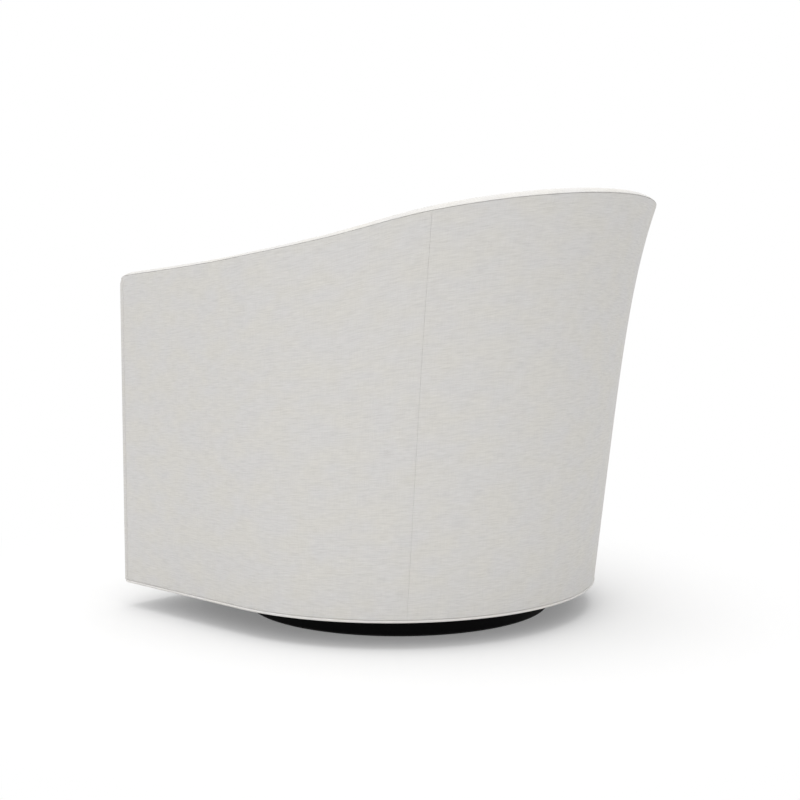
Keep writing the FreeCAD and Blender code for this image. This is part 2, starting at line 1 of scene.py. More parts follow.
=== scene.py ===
# %% [markdown]
# This chair is a round tub of padded walls that turns on a low black plinth. Its frame, springs and
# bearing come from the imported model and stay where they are. What is left to do here is the cloth: the
# covers, pads, piping and cushion are built over that frame, and then everything gets its finish.

# %% Load the frame
import json
import math

import bmesh
import bpy
from mathutils import Matrix, Vector


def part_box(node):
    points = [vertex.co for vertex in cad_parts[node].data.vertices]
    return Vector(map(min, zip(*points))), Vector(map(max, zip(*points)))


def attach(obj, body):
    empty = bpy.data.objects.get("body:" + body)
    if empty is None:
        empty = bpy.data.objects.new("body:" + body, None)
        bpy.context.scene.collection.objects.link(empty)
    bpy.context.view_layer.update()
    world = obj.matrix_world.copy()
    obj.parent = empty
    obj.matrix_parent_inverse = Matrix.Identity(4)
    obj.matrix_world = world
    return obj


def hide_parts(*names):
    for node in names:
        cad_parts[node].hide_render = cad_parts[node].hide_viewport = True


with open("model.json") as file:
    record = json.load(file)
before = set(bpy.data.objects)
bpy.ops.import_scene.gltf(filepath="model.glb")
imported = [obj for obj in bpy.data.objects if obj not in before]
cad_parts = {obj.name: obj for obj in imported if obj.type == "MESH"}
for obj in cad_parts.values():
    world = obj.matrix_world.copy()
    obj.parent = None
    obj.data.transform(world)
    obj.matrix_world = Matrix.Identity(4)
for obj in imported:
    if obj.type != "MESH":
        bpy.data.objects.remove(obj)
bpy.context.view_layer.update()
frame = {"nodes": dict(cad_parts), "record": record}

# %% [markdown]
# The wall of the tub is one idea: straight, parallel arms that run into a half-round back, which leans
# out as it rises. A place on it is named by its run, which is how far round the wall it lies from the
# middle of the back, by its level, and by its depth inwards. Building every cover from this one
# description keeps the seams of neighbouring pieces together, all the way round.

# %% Sizes of the tub
half_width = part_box("arm_front_cover_left")[1].x
arm_front = -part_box("arm_front_cover_left")[0].y
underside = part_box("bottom_welt")[0].z
deck_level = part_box("seat_deck_cloth")[1].z
back_centre = 0.019
back_heights = [0.7495, 0.741, 0.7165, 0.6755, 0.647]
arm_heights = [0.629, 0.615]
flare_height = 0.6
flare_lean = 0.080
flare_curl = 0.0145
flare_power = 5.6
flare_sideways = 0.48
quarter_run = half_width * math.pi / 2
full_run = quarter_run + arm_front - back_centre
seam_run = math.radians(44) * half_width
print("half way round the wall is", round(full_run, 4), "m, and the side seam is at", round(seam_run, 4))


# %% A place on the wall
def flare(level):
    """How far the rear of the back leans out at a level."""
    rise = max(0.0, (level - underside) / flare_height)
    return flare_lean * rise + flare_curl * rise ** flare_power


def top_height(run):
    """Height of the S-shaped top edge, on a smooth curve through its knots."""
    knots = [quarter_run * i / 4 for i in range(5)]
    knots += [(quarter_run + full_run) / 2, full_run]
    heights = back_heights + arm_heights
    last = len(knots) - 1
    reach = min(abs(run), full_run)
    low = max(i for i in range(last) if knots[i] <= reach + 1e-9)
    slopes = [0.0]
    for i in range(1, last):
        slopes.append((heights[i + 1] - heights[i - 1]) / (knots[i + 1] - knots[i - 1]))
    slopes.append((heights[last] - heights[last - 1]) / (knots[last] - knots[last - 1]))
    span = knots[low + 1] - knots[low]
    t = (reach - knots[low]) / span
    start = heights[low] * (2 * t ** 3 - 3 * t ** 2 + 1) + slopes[low] * span * (t ** 3 - 2 * t ** 2 + t)
    end = heights[low + 1] * (3 * t ** 2 - 2 * t ** 3) + slopes[low + 1] * span * (t ** 3 - t ** 2)
    return start + end


def wall_point(run, level, side_depth, rear_depth):
    """A point of the wall, with its depth inwards at the arms and at the rear."""
    reach = abs(run)
    hand = 1 if run >= 0 else -1
    if reach >= quarter_run:
        forward = back_centre + reach - quarter_run
        return Vector((hand * (half_width - side_depth), -forward, level))
    turn = reach / half_width
    lean = flare(level)
    forward = back_centre - (half_width + lean - rear_depth) * math.cos(turn)
    side = (half_width - side_depth + flare_sideways * lean * math.cos(turn) ** 2) * math.sin(turn)
    return Vector((hand * side, -forward, level))


print("top edge at the rear, the sides and the arm fronts:",
      [round(top_height(run), 4) for run in (0, quarter_run, full_run)])

# %% [markdown]
# The top front corner of each arm is not sharp: the cloth is pulled round it in a small arc. Instead of
# modelling that arc in four separate pieces, one function bends the square corner into a round one, and
# every cover that reaches it passes its points through that function.

# %% Round off the arm's top corner
corner_radius = 0.017


def soften_corner(point):
    """Turns the square top front corner of an arm into an arc."""
    forward = -point.y
    run = quarter_run + forward - back_centre
    ahead = (forward - arm_front) / corner_radius + 1
    above = (point.z - top_height(run)) / corner_radius + 1
    if forward < back_centre or ahead <= 0 or above <= 0:
        return point
    ease = max(ahead, above) / math.hypot(ahead, above)
    level = point.z + (above * ease - above) * corner_radius
    return Vector((point.x, -(forward + (ahead * ease - ahead) * corner_radius), level))


corner = soften_corner(Vector((half_width, -arm_front, top_height(full_run))))
print("the arm's top corner moves to", [round(v, 4) for v in corner])

# %% [markdown]
# A cut piece of cloth is a grid of quads: its columns run one way and its rows the other, as warp and
# weft do. The grid operator makes the quads, a function puts each crossing in space, and the same
# crossing's place on the flat cloth becomes its UV, in metres. The weave then follows the cloth and not
# the room. A border that is turned under at a seam needs a few closer rows, which stops() adds.


# %% Cloth grids
def stops(start, end, count, border=0.0):
    """Even steps from start to end, with closer ones in a rounded border at both ends."""
    close = [border * (1 - math.cos(math.radians(turn))) for turn in (0, 28, 52, 72)] if border else []
    inner = end - start - 2 * border
    steps = [start + border + inner * i / count for i in range(count + 1)]
    return [start + step for step in close] + steps + [end - step for step in reversed(close)]


def tuck(distance, radius):
    """How deep a surface has sunk at a distance from its seam, on a quarter round."""
    reach = min(radius, max(0.0, radius - distance))
    return radius - math.sqrt(radius ** 2 - reach ** 2)


def cloth_grid(columns, rows, place, lay):
    """Quads on given columns and rows: place puts them in space, lay gives their flat place."""
    cloth = bmesh.new()
    bmesh.ops.create_grid(cloth, x_segments=len(columns) - 1, y_segments=len(rows) - 1, size=1.0)
    column_of = cloth.verts.layers.float.new("column")
    row_of = cloth.verts.layers.float.new("row")
    for vert in cloth.verts:
        vert[column_of] = columns[round((vert.co.x + 1) / 2 * (len(columns) - 1))]
        vert[row_of] = rows[round((vert.co.y + 1) / 2 * (len(rows) - 1))]
        vert.co = place(vert[column_of], vert[row_of])
    lay_flat(cloth, lay)
    return cloth


def lay_flat(cloth, lay):
    """Writes each corner's place on the flat cloth, in metres."""
    column_of = cloth.verts.layers.float["column"]
    row_of = cloth.verts.layers.float["row"]
    flat = cloth.loops.layers.uv.get("cloth") or cloth.loops.layers.uv.new("cloth")
    for face in cloth.faces:
        for loop in face.loops:
            loop[flat].uv = lay(loop.vert[column_of], loop.vert[row_of])


print("a border of 2 mm on a 100 mm strip:", [round(v, 4) for v in stops(0, 0.1, 4, 0.002)])

# %% [markdown]
# Two shapes come out of such a grid. A cover is a thin sheet with the thickness of the cloth, and a pad
# is a block with the grid as its face and a second surface behind it. Both are closed, so that no face
# is seen from its wrong side, and both start as one extrusion of the grid.


# %% From a grid to a solid piece
def close_behind(cloth, back):
    """Extrudes the grid into a closed block whose rear is put in place by back(column, row)."""
    column_of = cloth.verts.layers.float["column"]
    row_of = cloth.verts.layers.float["row"]
    extruded = bmesh.ops.extrude_face_region(cloth, geom=cloth.faces[:])
    behind = [item for item in extruded["geom"] if isinstance(item, bmesh.types.BMVert)]
    for vert in behind:
        vert.co = back(vert[column_of], vert[row_of])
    bmesh.ops.recalc_face_normals(cloth, faces=cloth.faces[:])
    return behind


def finish_mesh(name, cloth):
    """Makes the object of a piece, with smooth shading and its place in the mesh."""
    for label in ("column", "row"):
        layer = cloth.verts.layers.float.get(label)
        if layer:
            cloth.verts.layers.float.remove(layer)
    mesh = bpy.data.meshes.new(name)
    cloth.to_mesh(mesh)
    cloth.free()
    mesh.shade_smooth()
    piece = bpy.data.objects.new(name, mesh)
    bpy.context.scene.collection.objects.link(piece)
    return piece


def round_off(piece, levels=1):
    """One subdivision, the same in the view and in the render."""
    smoother = piece.modifiers.new("smooth cloth", "SUBSURF")
    smoother.levels = levels
    smoother.render_levels = levels
    return piece


def report(piece):
    """Prints a piece's size and its count of faces."""
    span = [max(v.co[i] for v in piece.data.vertices) - min(v.co[i] for v in piece.data.vertices)
            for i in range(3)]
    print(piece.name, "spans", [round(v, 3) for v in span], "m with", len(piece.data.polygons), "faces")
    return piece


# %% [markdown]
# The body cloth is a pale greige plain weave with uneven yarns. Seen close, thicker weft yarns make
# short level streaks, the warp makes faint upright ones, and whole patches drift a little warmer or
# cooler. Noise that is stretched along the yarns gives all three, on the cloth's own UV in metres, and
# the same streaks raise the surface slightly. A print of the weave as an image would repeat, and this
# does not. The number that is the same everywhere, such as the sheen, sits on the shader itself.


# %% Helpers for finishes
def new_finish(name):
    """An empty material with its shader, and short ways to add nodes to it."""
    finish = bpy.data.materials.new(name)
    finish.use_nodes = True
    finish.node_tree.nodes.clear()
    shader = finish.node_tree.nodes.new("ShaderNodeBsdfPrincipled")
    output = finish.node_tree.nodes.new("ShaderNodeOutputMaterial")
    finish.node_tree.links.new(shader.outputs["BSDF"], output.inputs["Surface"])
    return finish, shader


def link(finish, source, target):
    finish.node_tree.links.new(source, target)


def stretched_noise(finish, source, scale, detail=2.0, roughness=0.5, distortion=0.0):
    """Noise on coordinates that are scaled differently along each axis."""
    spread = finish.node_tree.nodes.new("ShaderNodeMapping")
    spread.inputs["Scale"].default_value = scale
    link(finish, source, spread.inputs["Vector"])
    grain = finish.node_tree.nodes.new("ShaderNodeTexNoise")
    grain.inputs["Scale"].default_value = 1.0
    grain.inputs["Detail"].default_value = detail
    grain.inputs["Roughness"].default_value = roughness
    grain.inputs["Distortion"].default_value = distortion
    link(finish, spread.outputs["Vector"], grain.inputs["Vector"])
    return grain.outputs["Fac"]


def ramp(finish, source, *steps):
    """A colour ramp through (place, colour) steps, where a colour is one grey or three values."""
    band = finish.node_tree.nodes.new("ShaderNodeValToRGB")
    elements = band.color_ramp.elements
    while len(elements) < len(steps):
        elements.new(0.5)
    for element, (place, colour) in zip(elements, steps):
        element.position = place
        rgb = colour if isinstance(colour, tuple) else (colour, colour, colour)
        element.color = (*rgb, 1.0)
    link(finish, source, band.inputs["Fac"])
    return band.outputs["Color"]


def blend(finish, mode, share, under, over):
    """Mixes two colours; share is a number or a socket."""
    mixer = finish.node_tree.nodes.new("ShaderNodeMix")
    mixer.data_type = "RGBA"
    mixer.blend_type = mode
    if isinstance(share, float):
        mixer.inputs["Factor"].default_value = share
    else:
        link(finish, share, mixer.inputs["Factor"])
    link(finish, under, mixer.inputs[6])
    link(finish, over, mixer.inputs[7])
    return mixer.outputs[2]


def combine(finish, operation, first, second):
    """Arithmetic on two values, each a socket or a number."""
    sums = finish.node_tree.nodes.new("ShaderNodeMath")
    sums.operation = operation
    for socket, value in zip(sums.inputs, (first, second)):
        if isinstance(value, float):
            socket.default_value = value
        else:
            link(finish, value, socket)
    return sums.outputs["Value"]


def raise_surface(finish, shader, height, distance, strength=1.0):
    """Feeds a height in 0 to 1 to the shader as relief of a depth in metres."""
    relief = finish.node_tree.nodes.new("ShaderNodeBump")
    relief.inputs["Distance"].default_value = distance
    relief.inputs["Strength"].default_value = strength
    link(finish, height, relief.inputs["Height"])
    link(finish, relief.outputs["Normal"], shader.inputs["Normal"])


def flat_place(finish):
    """The piece's own UV, in metres on the flat cloth."""
    place = finish.node_tree.nodes.new("ShaderNodeUVMap")
    place.uv_map = "cloth"
    return place.outputs["UV"]


def solid_place(finish):
    """The place in the object, in metres."""
    return finish.node_tree.nodes.new("ShaderNodeTexCoord").outputs["Object"]


# %% The woven body cloth
def woven_cloth(name, tones, streak, relief):
    """Plain weave with slubs: tones are a shaded, a middle and a light colour."""
    finish, shader = new_finish(name)
    flat = flat_place(finish)
    weft = stretched_noise(finish, flat, (60, 760, 1), 3.0, 0.6)
    slubs = stretched_noise(finish, flat, (34, 330, 1), 2.0, 0.5)
    warp = stretched_noise(finish, flat, (760, 40, 1), 2.0, 0.5)
    drift = stretched_noise(finish, flat, (16, 22, 1), 2.0, 0.5)
    dark, middle, light = tones
    yarns = ramp(finish, weft, (0.30, dark), (0.52, middle), (0.74, light))
    thick = ramp(finish, slubs, (0.34, 1 - streak), (0.5, 1.0 - 0.3 * streak), (0.66, 1.0))
    upright = ramp(finish, warp, (0.3, 1 - 0.6 * streak), (0.6, 1.0))
    patches = ramp(finish, drift, (0.36, (1.0, 0.989, 0.973)), (0.64, (0.985, 0.982, 1.0)))
    colour = blend(finish, "MULTIPLY", 1.0, yarns, thick)
    colour = blend(finish, "MULTIPLY", 1.0, colour, upright)
    colour = blend(finish, "MULTIPLY", 1.0, colour, patches)
    link(finish, colour, shader.inputs["Base Color"])
    dullness = combine(finish, "ADD", combine(finish, "MULTIPLY", weft, 0.14), 0.82)
    link(finish, dullness, shader.inputs["Roughness"])
    height = combine(finish, "ADD", weft, combine(finish, "MULTIPLY", slubs, 0.7))
    height = combine(finish, "ADD", height, combine(finish, "MULTIPLY", warp, 0.5))
    raise_surface(finish, shader, height, relief)
    shader.inputs["Sheen Weight"].default_value = 0.12
    shader.inputs["Sheen Roughness"].default_value = 0.5
    shader.inputs["Specular IOR Level"].default_value = 0.25
    return finish


body_tones = ((0.63, 0.620, 0.596), (0.68, 0.671, 0.646), (0.72, 0.711, 0.688))
body_cloth = woven_cloth("body_cloth", body_tones, 0.06, 0.0003)
print("body cloth made with", len(body_cloth.node_tree.nodes), "nodes")

# %% [markdown]
# The outside of the tub is three stretched covers, one on each arm and one round the back, that meet in
# upright seams. Each is a thin sheet whose border turns in at its seams, which leaves the fine dark
# groove that a sewn seam shows. Under them lies one long wrap of wadding, with a dent where the covers
# turn in.

# %% Dress a piece
def dress(piece, finish, body, slot, *nodes):
    """Gives a piece its finish and its body, and hides the nodes it stands for; slot is not used."""
    piece.data.materials.clear()
    piece.data.materials.append(finish)
    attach(piece, body)
    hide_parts(*nodes)
    return report(piece)


# %% Outside covers
cloth_thickness = 0.0016
welt_radius = 0.0025
welt_proud = 0.0015
welt_top = underside + 2 * welt_radius
seam_gap = 0.0001
seam_round = 0.0035
seam_sink = 0.16
low_seam_round = 0.0006
side_seam_round = 0.0003
seam_turn = 0.0072
seam_slant = 0.0020
front_depth = 0.0120
cover_end = full_run - front_depth
cover_low = welt_top + seam_gap


def cover_high(run):
    """Upper border of the outside covers, just under the lip of the top strip."""
    return top_height(run) - 0.0005


def lean_forward(run, share):
    """Moves a place round the wall, so that the side seams turn towards the arms at the top."""
    near = min(abs(run) / seam_run, (cover_end - abs(run)) / (cover_end - seam_run))
    shift = seam_turn * share ** 7 + seam_slant * (share - 1)
    return run + shift * near if run > 0 else run - shift * near


def cover_dent(run, level):
    """How far the outside covers have sunk at a place, because of the nearest seam."""
    side = min(abs(abs(run) - seam_run) - seam_gap / 2, cover_end - abs(run))
    return max(seam_sink * tuck(cover_high(run) - level, seam_round),
               tuck(level - cover_low, low_seam_round), tuck(side, side_seam_round))


def outside_cover(name, start, end, count, node):
    """A stretched cover of the outside, from one seam to the next."""
    height = 0.6

    def surface(thickness):
        def place(run, share):
            spot = lean_forward(run, share)
            level = cover_low + (cover_high(spot) - cover_low) * share
            depth = cover_dent(run, level) + thickness
            return soften_corner(wall_point(spot, level, depth, depth))
        return place

    cloth = cloth_grid(stops(start, end, count, side_seam_round), stops(0, 1, 50, seam_round / height),
                       surface(0.0), lambda run, share: (run, share * height))
    close_behind(cloth, surface(cloth_thickness))
    piece = dress(finish_mesh(name, cloth), body_cloth, "seat", "body_fabric", node)
    return piece


for hand, side in ((1, "left"), (-1, "right")):
    ends = sorted([hand * (seam_run + seam_gap / 2), hand * cover_end])
    outside_cover("outside_arm_panel_" + side, ends[0], ends[1], 56, "outside_arm_cover_" + side)
outside_cover("outside_back_panel", -seam_run + seam_gap / 2, seam_run - seam_gap / 2, 60,
              "outside_back_cover")

# %% [markdown]
# Wadding is a loose white fleece. It hardly shows, but it is a piece of its own: it takes the hardness
# off the frame's edges. A mottled white with a fine fuzzy relief is enough for it.

# %% Wadding
def soft_fill(name, tones, scale, relief):
    """Fleece or foam: mottled, dull, with a fine even relief on the object's own place."""
    finish, shader = new_finish(name)
    where = solid_place(finish)
    fine = stretched_noise(finish, where, (scale, scale, scale), 4.0, 0.7)
    broad = stretched_noise(finish, where, (18, 18, 18), 2.0)
    colour = ramp(finish, broad, (0.35, tones[0]), (0.65, tones[1]))
    shade = ramp(finish, fine, (0.3, 0.88), (0.7, 1.0))
    link(finish, blend(finish, "MULTIPLY", 1.0, colour, shade), shader.inputs["Base Color"])
    shader.inputs["Roughness"].default_value = 0.95
    shader.inputs["Sheen Weight"].default_value = 0.3
    raise_surface(finish, shader, fine, relief)
    return finish


fleece = soft_fill("white_wadding", ((0.74, 0.73, 0.70), (0.82, 0.81, 0.79)), 420, 0.0012)
frame_top_drop = 0.022
frame_outer = half_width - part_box("arm_stump_left")[1].x
wadding_end = -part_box("outside_wadding")[0].y + quarter_run - back_centre


def wadding_place(depth_from_cover):
    """A surface of the wadding, at a depth behind the covers' inner faces."""
    def place(run, share):
        high = top_height(run) - frame_top_drop
        level = cover_low + (high - cover_low) * share
        depth = max(cloth_thickness + 0.0004 + cover_dent(run, level), depth_from_cover)
        return wall_point(run, level, depth, depth)
    return place


columns = stops(-cover_end, -seam_run, 40)
columns += stops(-seam_run, seam_run, 60)[1:]
columns += stops(seam_run, cover_end, 40)[1:]
cloth = cloth_grid(columns, stops(0, 1, 40), wadding_place(0.0), lambda run, share: (run, 0.6 * share))
close_behind(cloth, wadding_place(frame_outer - 0.0004))
wadding = dress(finish_mesh("wadding_wrap", cloth), fleece, "seat", "wadding", "outside_wadding")

# %% [markdown]
# The top edge is a padded strip that runs over both arms and round the back. Its face is crowned, and
# its two long borders are turned under into a lip, where it is sewn to the outside and inside covers.
# The photograph shows this lip as a bright line over a dark groove. The lip is a few explicit steps at
# the end of the rows and columns, so it stays crisp, and a mild crown joins its two sides.

# %% The top strip
lip_steps = [(0.0036, -0.0004), (0.0014, -0.0003), (0.0004, 0.0002)]
lip_rise = 0.0002
crown_power = 5.0
crown_at_arms = 0.0069
crown_at_back = 0.0085
swell_at_arms = 0.007
swell_at_back = 0.012
back_thickness_low = 0.152
back_thickness_high = 0.100
arm_thickness = half_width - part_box("arm_front_cover_left")[0].x


def with_lip(values):
    """Adds the three lip steps before and after a row of values, as whole steps outside it."""
    count = len(lip_steps)
    before = [values[0] - count + i for i in range(count)]
    after = [values[-1] + 1 + i for i in range(count)]
    return before + values + after


def off_the_end(value, low, high):
    """Splits a value into its place between low and high, its inset and its highest rise."""
    over = low - value if value < low else value - high
    if over < 0.5:
        return min(high, max(low, value)), 0.0, 1.0
    inset, rise = lip_steps[len(lip_steps) - round(over)]
    return (low + inset, inset, rise) if value < low else (high - inset, inset, rise)


def wall_depths(run, level):
    """Depth of the inner face at the arms and at the rear; it swells between its seams."""
    rise = (level - deck_level) / (top_height(0) - deck_level)
    share = min(1.0, max(0.0, (level - deck_level) / (top_height(run) - deck_level)))
    swell = math.sin(math.pi * share)
    fade = min(1.0, max(0.0, (cover_end - abs(run)) / 0.07))
    fade = fade * fade * (3 - 2 * fade)
    rear = back_thickness_low + (back_thickness_high - back_thickness_low) * rise
    return arm_thickness + swell_at_arms * swell * fade, rear + swell_at_back * swell


def top_place(run_value, share_value):
    """Face of the top strip, with its lip at both sides and at both ends."""
    run, run_inset, run_rise = off_the_end(run_value, -full_run, full_run)
    share, inset, rise = off_the_end(share_value, 0.0, 1.0)
    side_depth, rear_depth = wall_depths(run, top_height(run))
    share = min(1.0, max(0.0, share))
    edge = inset if share_value < 0.5 else -inset
    whole = 0.0 if share_value < 0.0 else 1.0
    share = whole if inset else share
    back_share = max(0.0, math.cos(min(abs(run) / half_width, math.pi / 2)))
    crown = crown_at_arms + (crown_at_back - crown_at_arms) * back_share
    lift = lip_rise + (crown - lip_rise) * (1 - abs(2 * share - 1) ** crown_power)
    lift = min(lift, rise, run_rise)
    level = top_height(run) + lift
    return soften_corner(wall_point(run, level, side_depth * share + edge, rear_depth * share + edge))


def top_flat(run_value, share_value):
    """Flat place of the top strip's cloth; its narrow lips share the place of their border."""
    return min(full_run, max(-full_run, run_value)), 0.1 * min(1.0, max(0.0, share_value))


def top_underside(run_value, share_value):
    """Rear of the top strip's padding, on top of the frame."""
    run = min(full_run - 0.0048, max(0.0048 - full_run, run_value))
    share = min(1.0, max(0.0, share_value))
    depth = 0.0036 + (0.0325 - 0.0036) * share
    level = top_height(run) - frame_top_drop + 0.0004
    return wall_point(run, level, depth, depth)


rows = with_lip(stops(0.0, 1.0, 14))
columns = with_lip(stops(-full_run, full_run, 190))
cloth = cloth_grid(columns, rows, top_place, top_flat)
close_behind(cloth, top_underside)
strip = dress(finish_mesh("top_edge_strip", cloth), body_cloth, "seat", "body_fabric",
              "top_boxing", "top_edge_padding")
round_off(strip)

# %% [markdown]
# At the front of each arm the same cloth goes down over the end board as a shallow cap. Its outer and
# inner upright edges are rounded alike here, though the wadding is thicker under the outer one. The
# cap is a path across the arm, from one flank over the front to the other, drawn out over its height.

# %% Caps on the arm fronts
outer_round = 0.0045
inner_round = 0.0045


def cap_path():
    """Steps across a cap: its depth, its distance from the front, its outward direction and its way."""
    steps = [(0.0, front_depth - seam_gap, -1.0, 0.0)]
    for turn in [math.pi / 2 * i / 8 for i in range(9)]:
        across, ahead = math.cos(turn), math.sin(turn)
        steps.append((outer_round * (1 - across), outer_round * (1 - ahead), -across, -ahead))
    flat = arm_thickness - outer_round - inner_round
    steps += [(outer_round + flat * i / 8, 0.0, 0.0, -1.0) for i in range(1, 8)]
    for turn in [math.pi / 2 * i / 6 for i in range(7)]:
        across, ahead = math.sin(turn), math.cos(turn)
        steps.append((arm_thickness - inner_round * (1 - across), inner_round * (1 - ahead), across, -ahead))
    steps.append((arm_thickness, front_depth - seam_gap, 1.0, 0.0))
    ways = [0.0]
    for here, there in zip(steps, steps[1:]):
        ways.append(ways[-1] + math.hypot(there[0] - here[0], there[1] - here[1]))
    return [(*step, way) for step, way in zip(steps, ways)]


def arm_cap(hand, name, node):
    """The cover of an arm's front, from the bottom piping up to the top strip."""
    path = cap_path()

    def surface(thickness):
        def place(index, share):
            depth, back, across, ahead, way = path[round(index)]
            level = cover_low + (top_height(full_run - back) - 0.0010 - cover_low) * share
            sunk = thickness + tuck(level - cover_low, low_seam_round)
            x = hand * (half_width - depth + across * sunk)
            return soften_corner(Vector((x, back - ahead * sunk - arm_front, level)))
        return place

    cloth = cloth_grid([float(i) for i in range(len(path))], stops(0, 1, 48, low_seam_round / 0.6),
                       surface(0.0), lambda index, share: (path[round(index)][4], 0.6 * share))
    close_behind(cloth, surface(cloth_thickness))
    piece = dress(finish_mesh(name, cloth), body_cloth, "seat", "body_fabric", node)
    return piece


for hand, side in ((1, "left"), (-1, "right")):
    arm_cap(hand, "arm_front_cap_" + side, "arm_front_cover_" + side)

# %% [markdown]
# The inside of the tub is upholstered in three foam pads with a cover drawn over them. Foam under a
# stretched cover is never quite even: it swells between the seams and pulls into small hollows along
# them. A short cloth simulation gives that. The pad's seams and its rear are pinned, a light pressure
# pushes the face out, and the movement is capped so that the pad stays in its own space. The result is
# written back to the mesh, so no simulation is left on the piece.


# %% Simulate a padded face
def puff(piece, free, pressure, growth, cap):
    """Blows up the free points of a closed piece for 20 frames and keeps the result, up to a cap."""
    rest = [vert.co.copy() for vert in piece.data.vertices]
    held = piece.vertex_groups.new(name="held")
    held.add([i for i in range(len(rest)) if i not in free], 1.0, "REPLACE")
    cloth = piece.modifiers.new("cloth", "CLOTH")
    cloth.settings.quality = 6
    cloth.settings.mass = 0.3
    cloth.settings.tension_stiffness = 18
    cloth.settings.compression_stiffness = 18
    cloth.settings.shear_stiffness = 8
    cloth.settings.bending_stiffness = 0.6
    cloth.settings.shrink_min = -growth
    cloth.settings.use_pressure = True
    cloth.settings.uniform_pressure_force = pressure
    cloth.settings.vertex_group_mass = "held"
    cloth.settings.effector_weights.gravity = 0
    cloth.collision_settings.use_collision = False
    cloth.point_cache.frame_start = 1
    cloth.point_cache.frame_end = 20
    for step in range(1, 21):
        bpy.context.scene.frame_set(step)
    shaped = piece.evaluated_get(bpy.context.evaluated_depsgraph_get()).to_mesh()
    moved = [vert.co.copy() for vert in shaped.vertices]
    piece.modifiers.remove(cloth)
    piece.vertex_groups.remove(held)
    most = 0.0
    for i in free:
        step = moved[i] - rest[i]
        most = max(most, step.length)
        step *= math.tanh(step.length / cap) * cap / max(step.length, 1e-9)
        piece.data.vertices[i].co = rest[i] + step
    bpy.context.scene.frame_set(1)
    print(piece.name, "swelled by up to", round(most * 1000, 1), "mm, capped near", round(cap * 1000, 1))
    return piece


# %% Inside pads
pad_outer = 0.0342
pad_low = deck_level + 0.0004
foam_end = full_run - (arm_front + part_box("arm_stump_left")[1].y) - 0.0006
inner_seam_round = 0.010
inner_top_round = 0.006
start_shrink = 0.003


def inside_pad(name, start, end, count, *nodes):
    """A foam pad with its cover, from seam to seam, between the deck and the top strip."""
    height = 0.35

    def face(run, share):
        high = top_height(run) - 0.0010
        level = pad_low + (high - pad_low) * share
        side_depth, rear_depth = wall_depths(run, level)
        sunk = tuck(abs(abs(run) - seam_run), inner_seam_round)
        sunk = max(sunk, tuck(high - level, inner_top_round), tuck(cover_end - abs(run), 0.0012))
        free = min(1.0, (high - level) / 0.03) * min(1.0, (cover_end - abs(run)) / 0.04)
        sunk += start_shrink * free
        return soften_corner(wall_point(run, level, side_depth - sunk, rear_depth - sunk))

    def behind(run, share):
        high = top_height(run) - frame_top_drop - 0.0004
        beyond = abs(run) > foam_end
        high = high if not beyond else top_height(run) - 0.0040
        depth = arm_thickness - 0.0017 if beyond else pad_outer
        return soften_corner(wall_point(run, pad_low + (high - pad_low) * share, depth, depth))

    ways = stops(start, end, count, inner_seam_round if abs(start) <= seam_run else 0.0012)
    ways += [hand * (foam_end + step) for hand in (-1, 1) for step in (-0.0003, 0.0003)
             if start < hand * foam_end < end]
    ways.sort()
    cloth = cloth_grid(ways, stops(0, 1, 34, inner_top_round / height), face,
                       lambda run, share: (0.75 * run, height * share))
    close_behind(cloth, behind)
    piece = dress(finish_mesh(name, cloth), body_cloth, "seat", "body_fabric", *nodes)
    low, high = pad_low + 0.004, 0.012
    free = [vert.index for vert in piece.data.vertices if is_face(vert.co, start, end, low, high)]
    puff(piece, set(free), 3.0, 0.004, 0.006)
    return round_off(piece)


def is_face(point, start, end, low, seam):
    """True for a point of an inside pad's face that isn't on its seams."""
    forward = -point.y
    turn = math.atan2(abs(point.x), back_centre - forward) if forward < back_centre else math.pi / 2
    run = half_width * turn if forward < back_centre else quarter_run + forward - back_centre
    run = math.copysign(run, point.x)
    side_depth, rear_depth = wall_depths(run, point.z)
    shell = wall_point(run, point.z, 0.7 * side_depth, 0.7 * rear_depth)
    middle = Vector((0, -back_centre if forward < back_centre else point.y, point.z))
    inside = (point - middle).length < (shell - middle).length
    return inside and start + seam < run < end - seam and low < point.z < top_height(run) - seam


inside_pad("inside_back_pad", -seam_run + seam_gap / 2, seam_run - seam_gap / 2, 60,
           "inside_back_foam", "inside_back_cover")
for hand, side in ((1, "left"), (-1, "right")):
    ends = sorted([hand * (seam_run + seam_gap / 2), hand * cover_end])
    inside_pad("inside_arm_pad_" + side, ends[0], ends[1], 60,
               "inside_arm_foam_" + side, "inside_arm_cover_" + side)

# %% [markdown]
# Between the arms, below the cushion, a small padded panel closes the front. It lies a little behind
# the arm fronts, so its cloth is drawn forward along the bottom, where it is sewn to the piping. It is
# built as the other pads are, on a flat grid whose borders turn in, with a swell in the middle.

# %% Front panel
panel_half = half_width - arm_thickness - 0.0004
panel_back = -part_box("front_rail_padding")[1].y
panel_face = -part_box("front_rail_cover")[0].y
panel_round = 0.004
panel_swell = 0.0025
panel_kick = 0.030
panel_recess = arm_front - 0.0012 - panel_face


def front_face(x, share):
    level = cover_low + (deck_level - cover_low) * share
    sunk = max(tuck(panel_half - abs(x), panel_round), tuck(deck_level - level, panel_round))
    swell = panel_swell * math.sin(math.pi * share) * (1 - (x / panel_half) ** 4)
    kick = panel_recess * max(0.0, 1 - (level - cover_low) / panel_kick) ** 2
    return Vector((x, sunk - swell - kick - panel_face, level))


def front_behind(x, share):
    return Vector((x, -panel_back, cover_low + (deck_level - cover_low) * share))


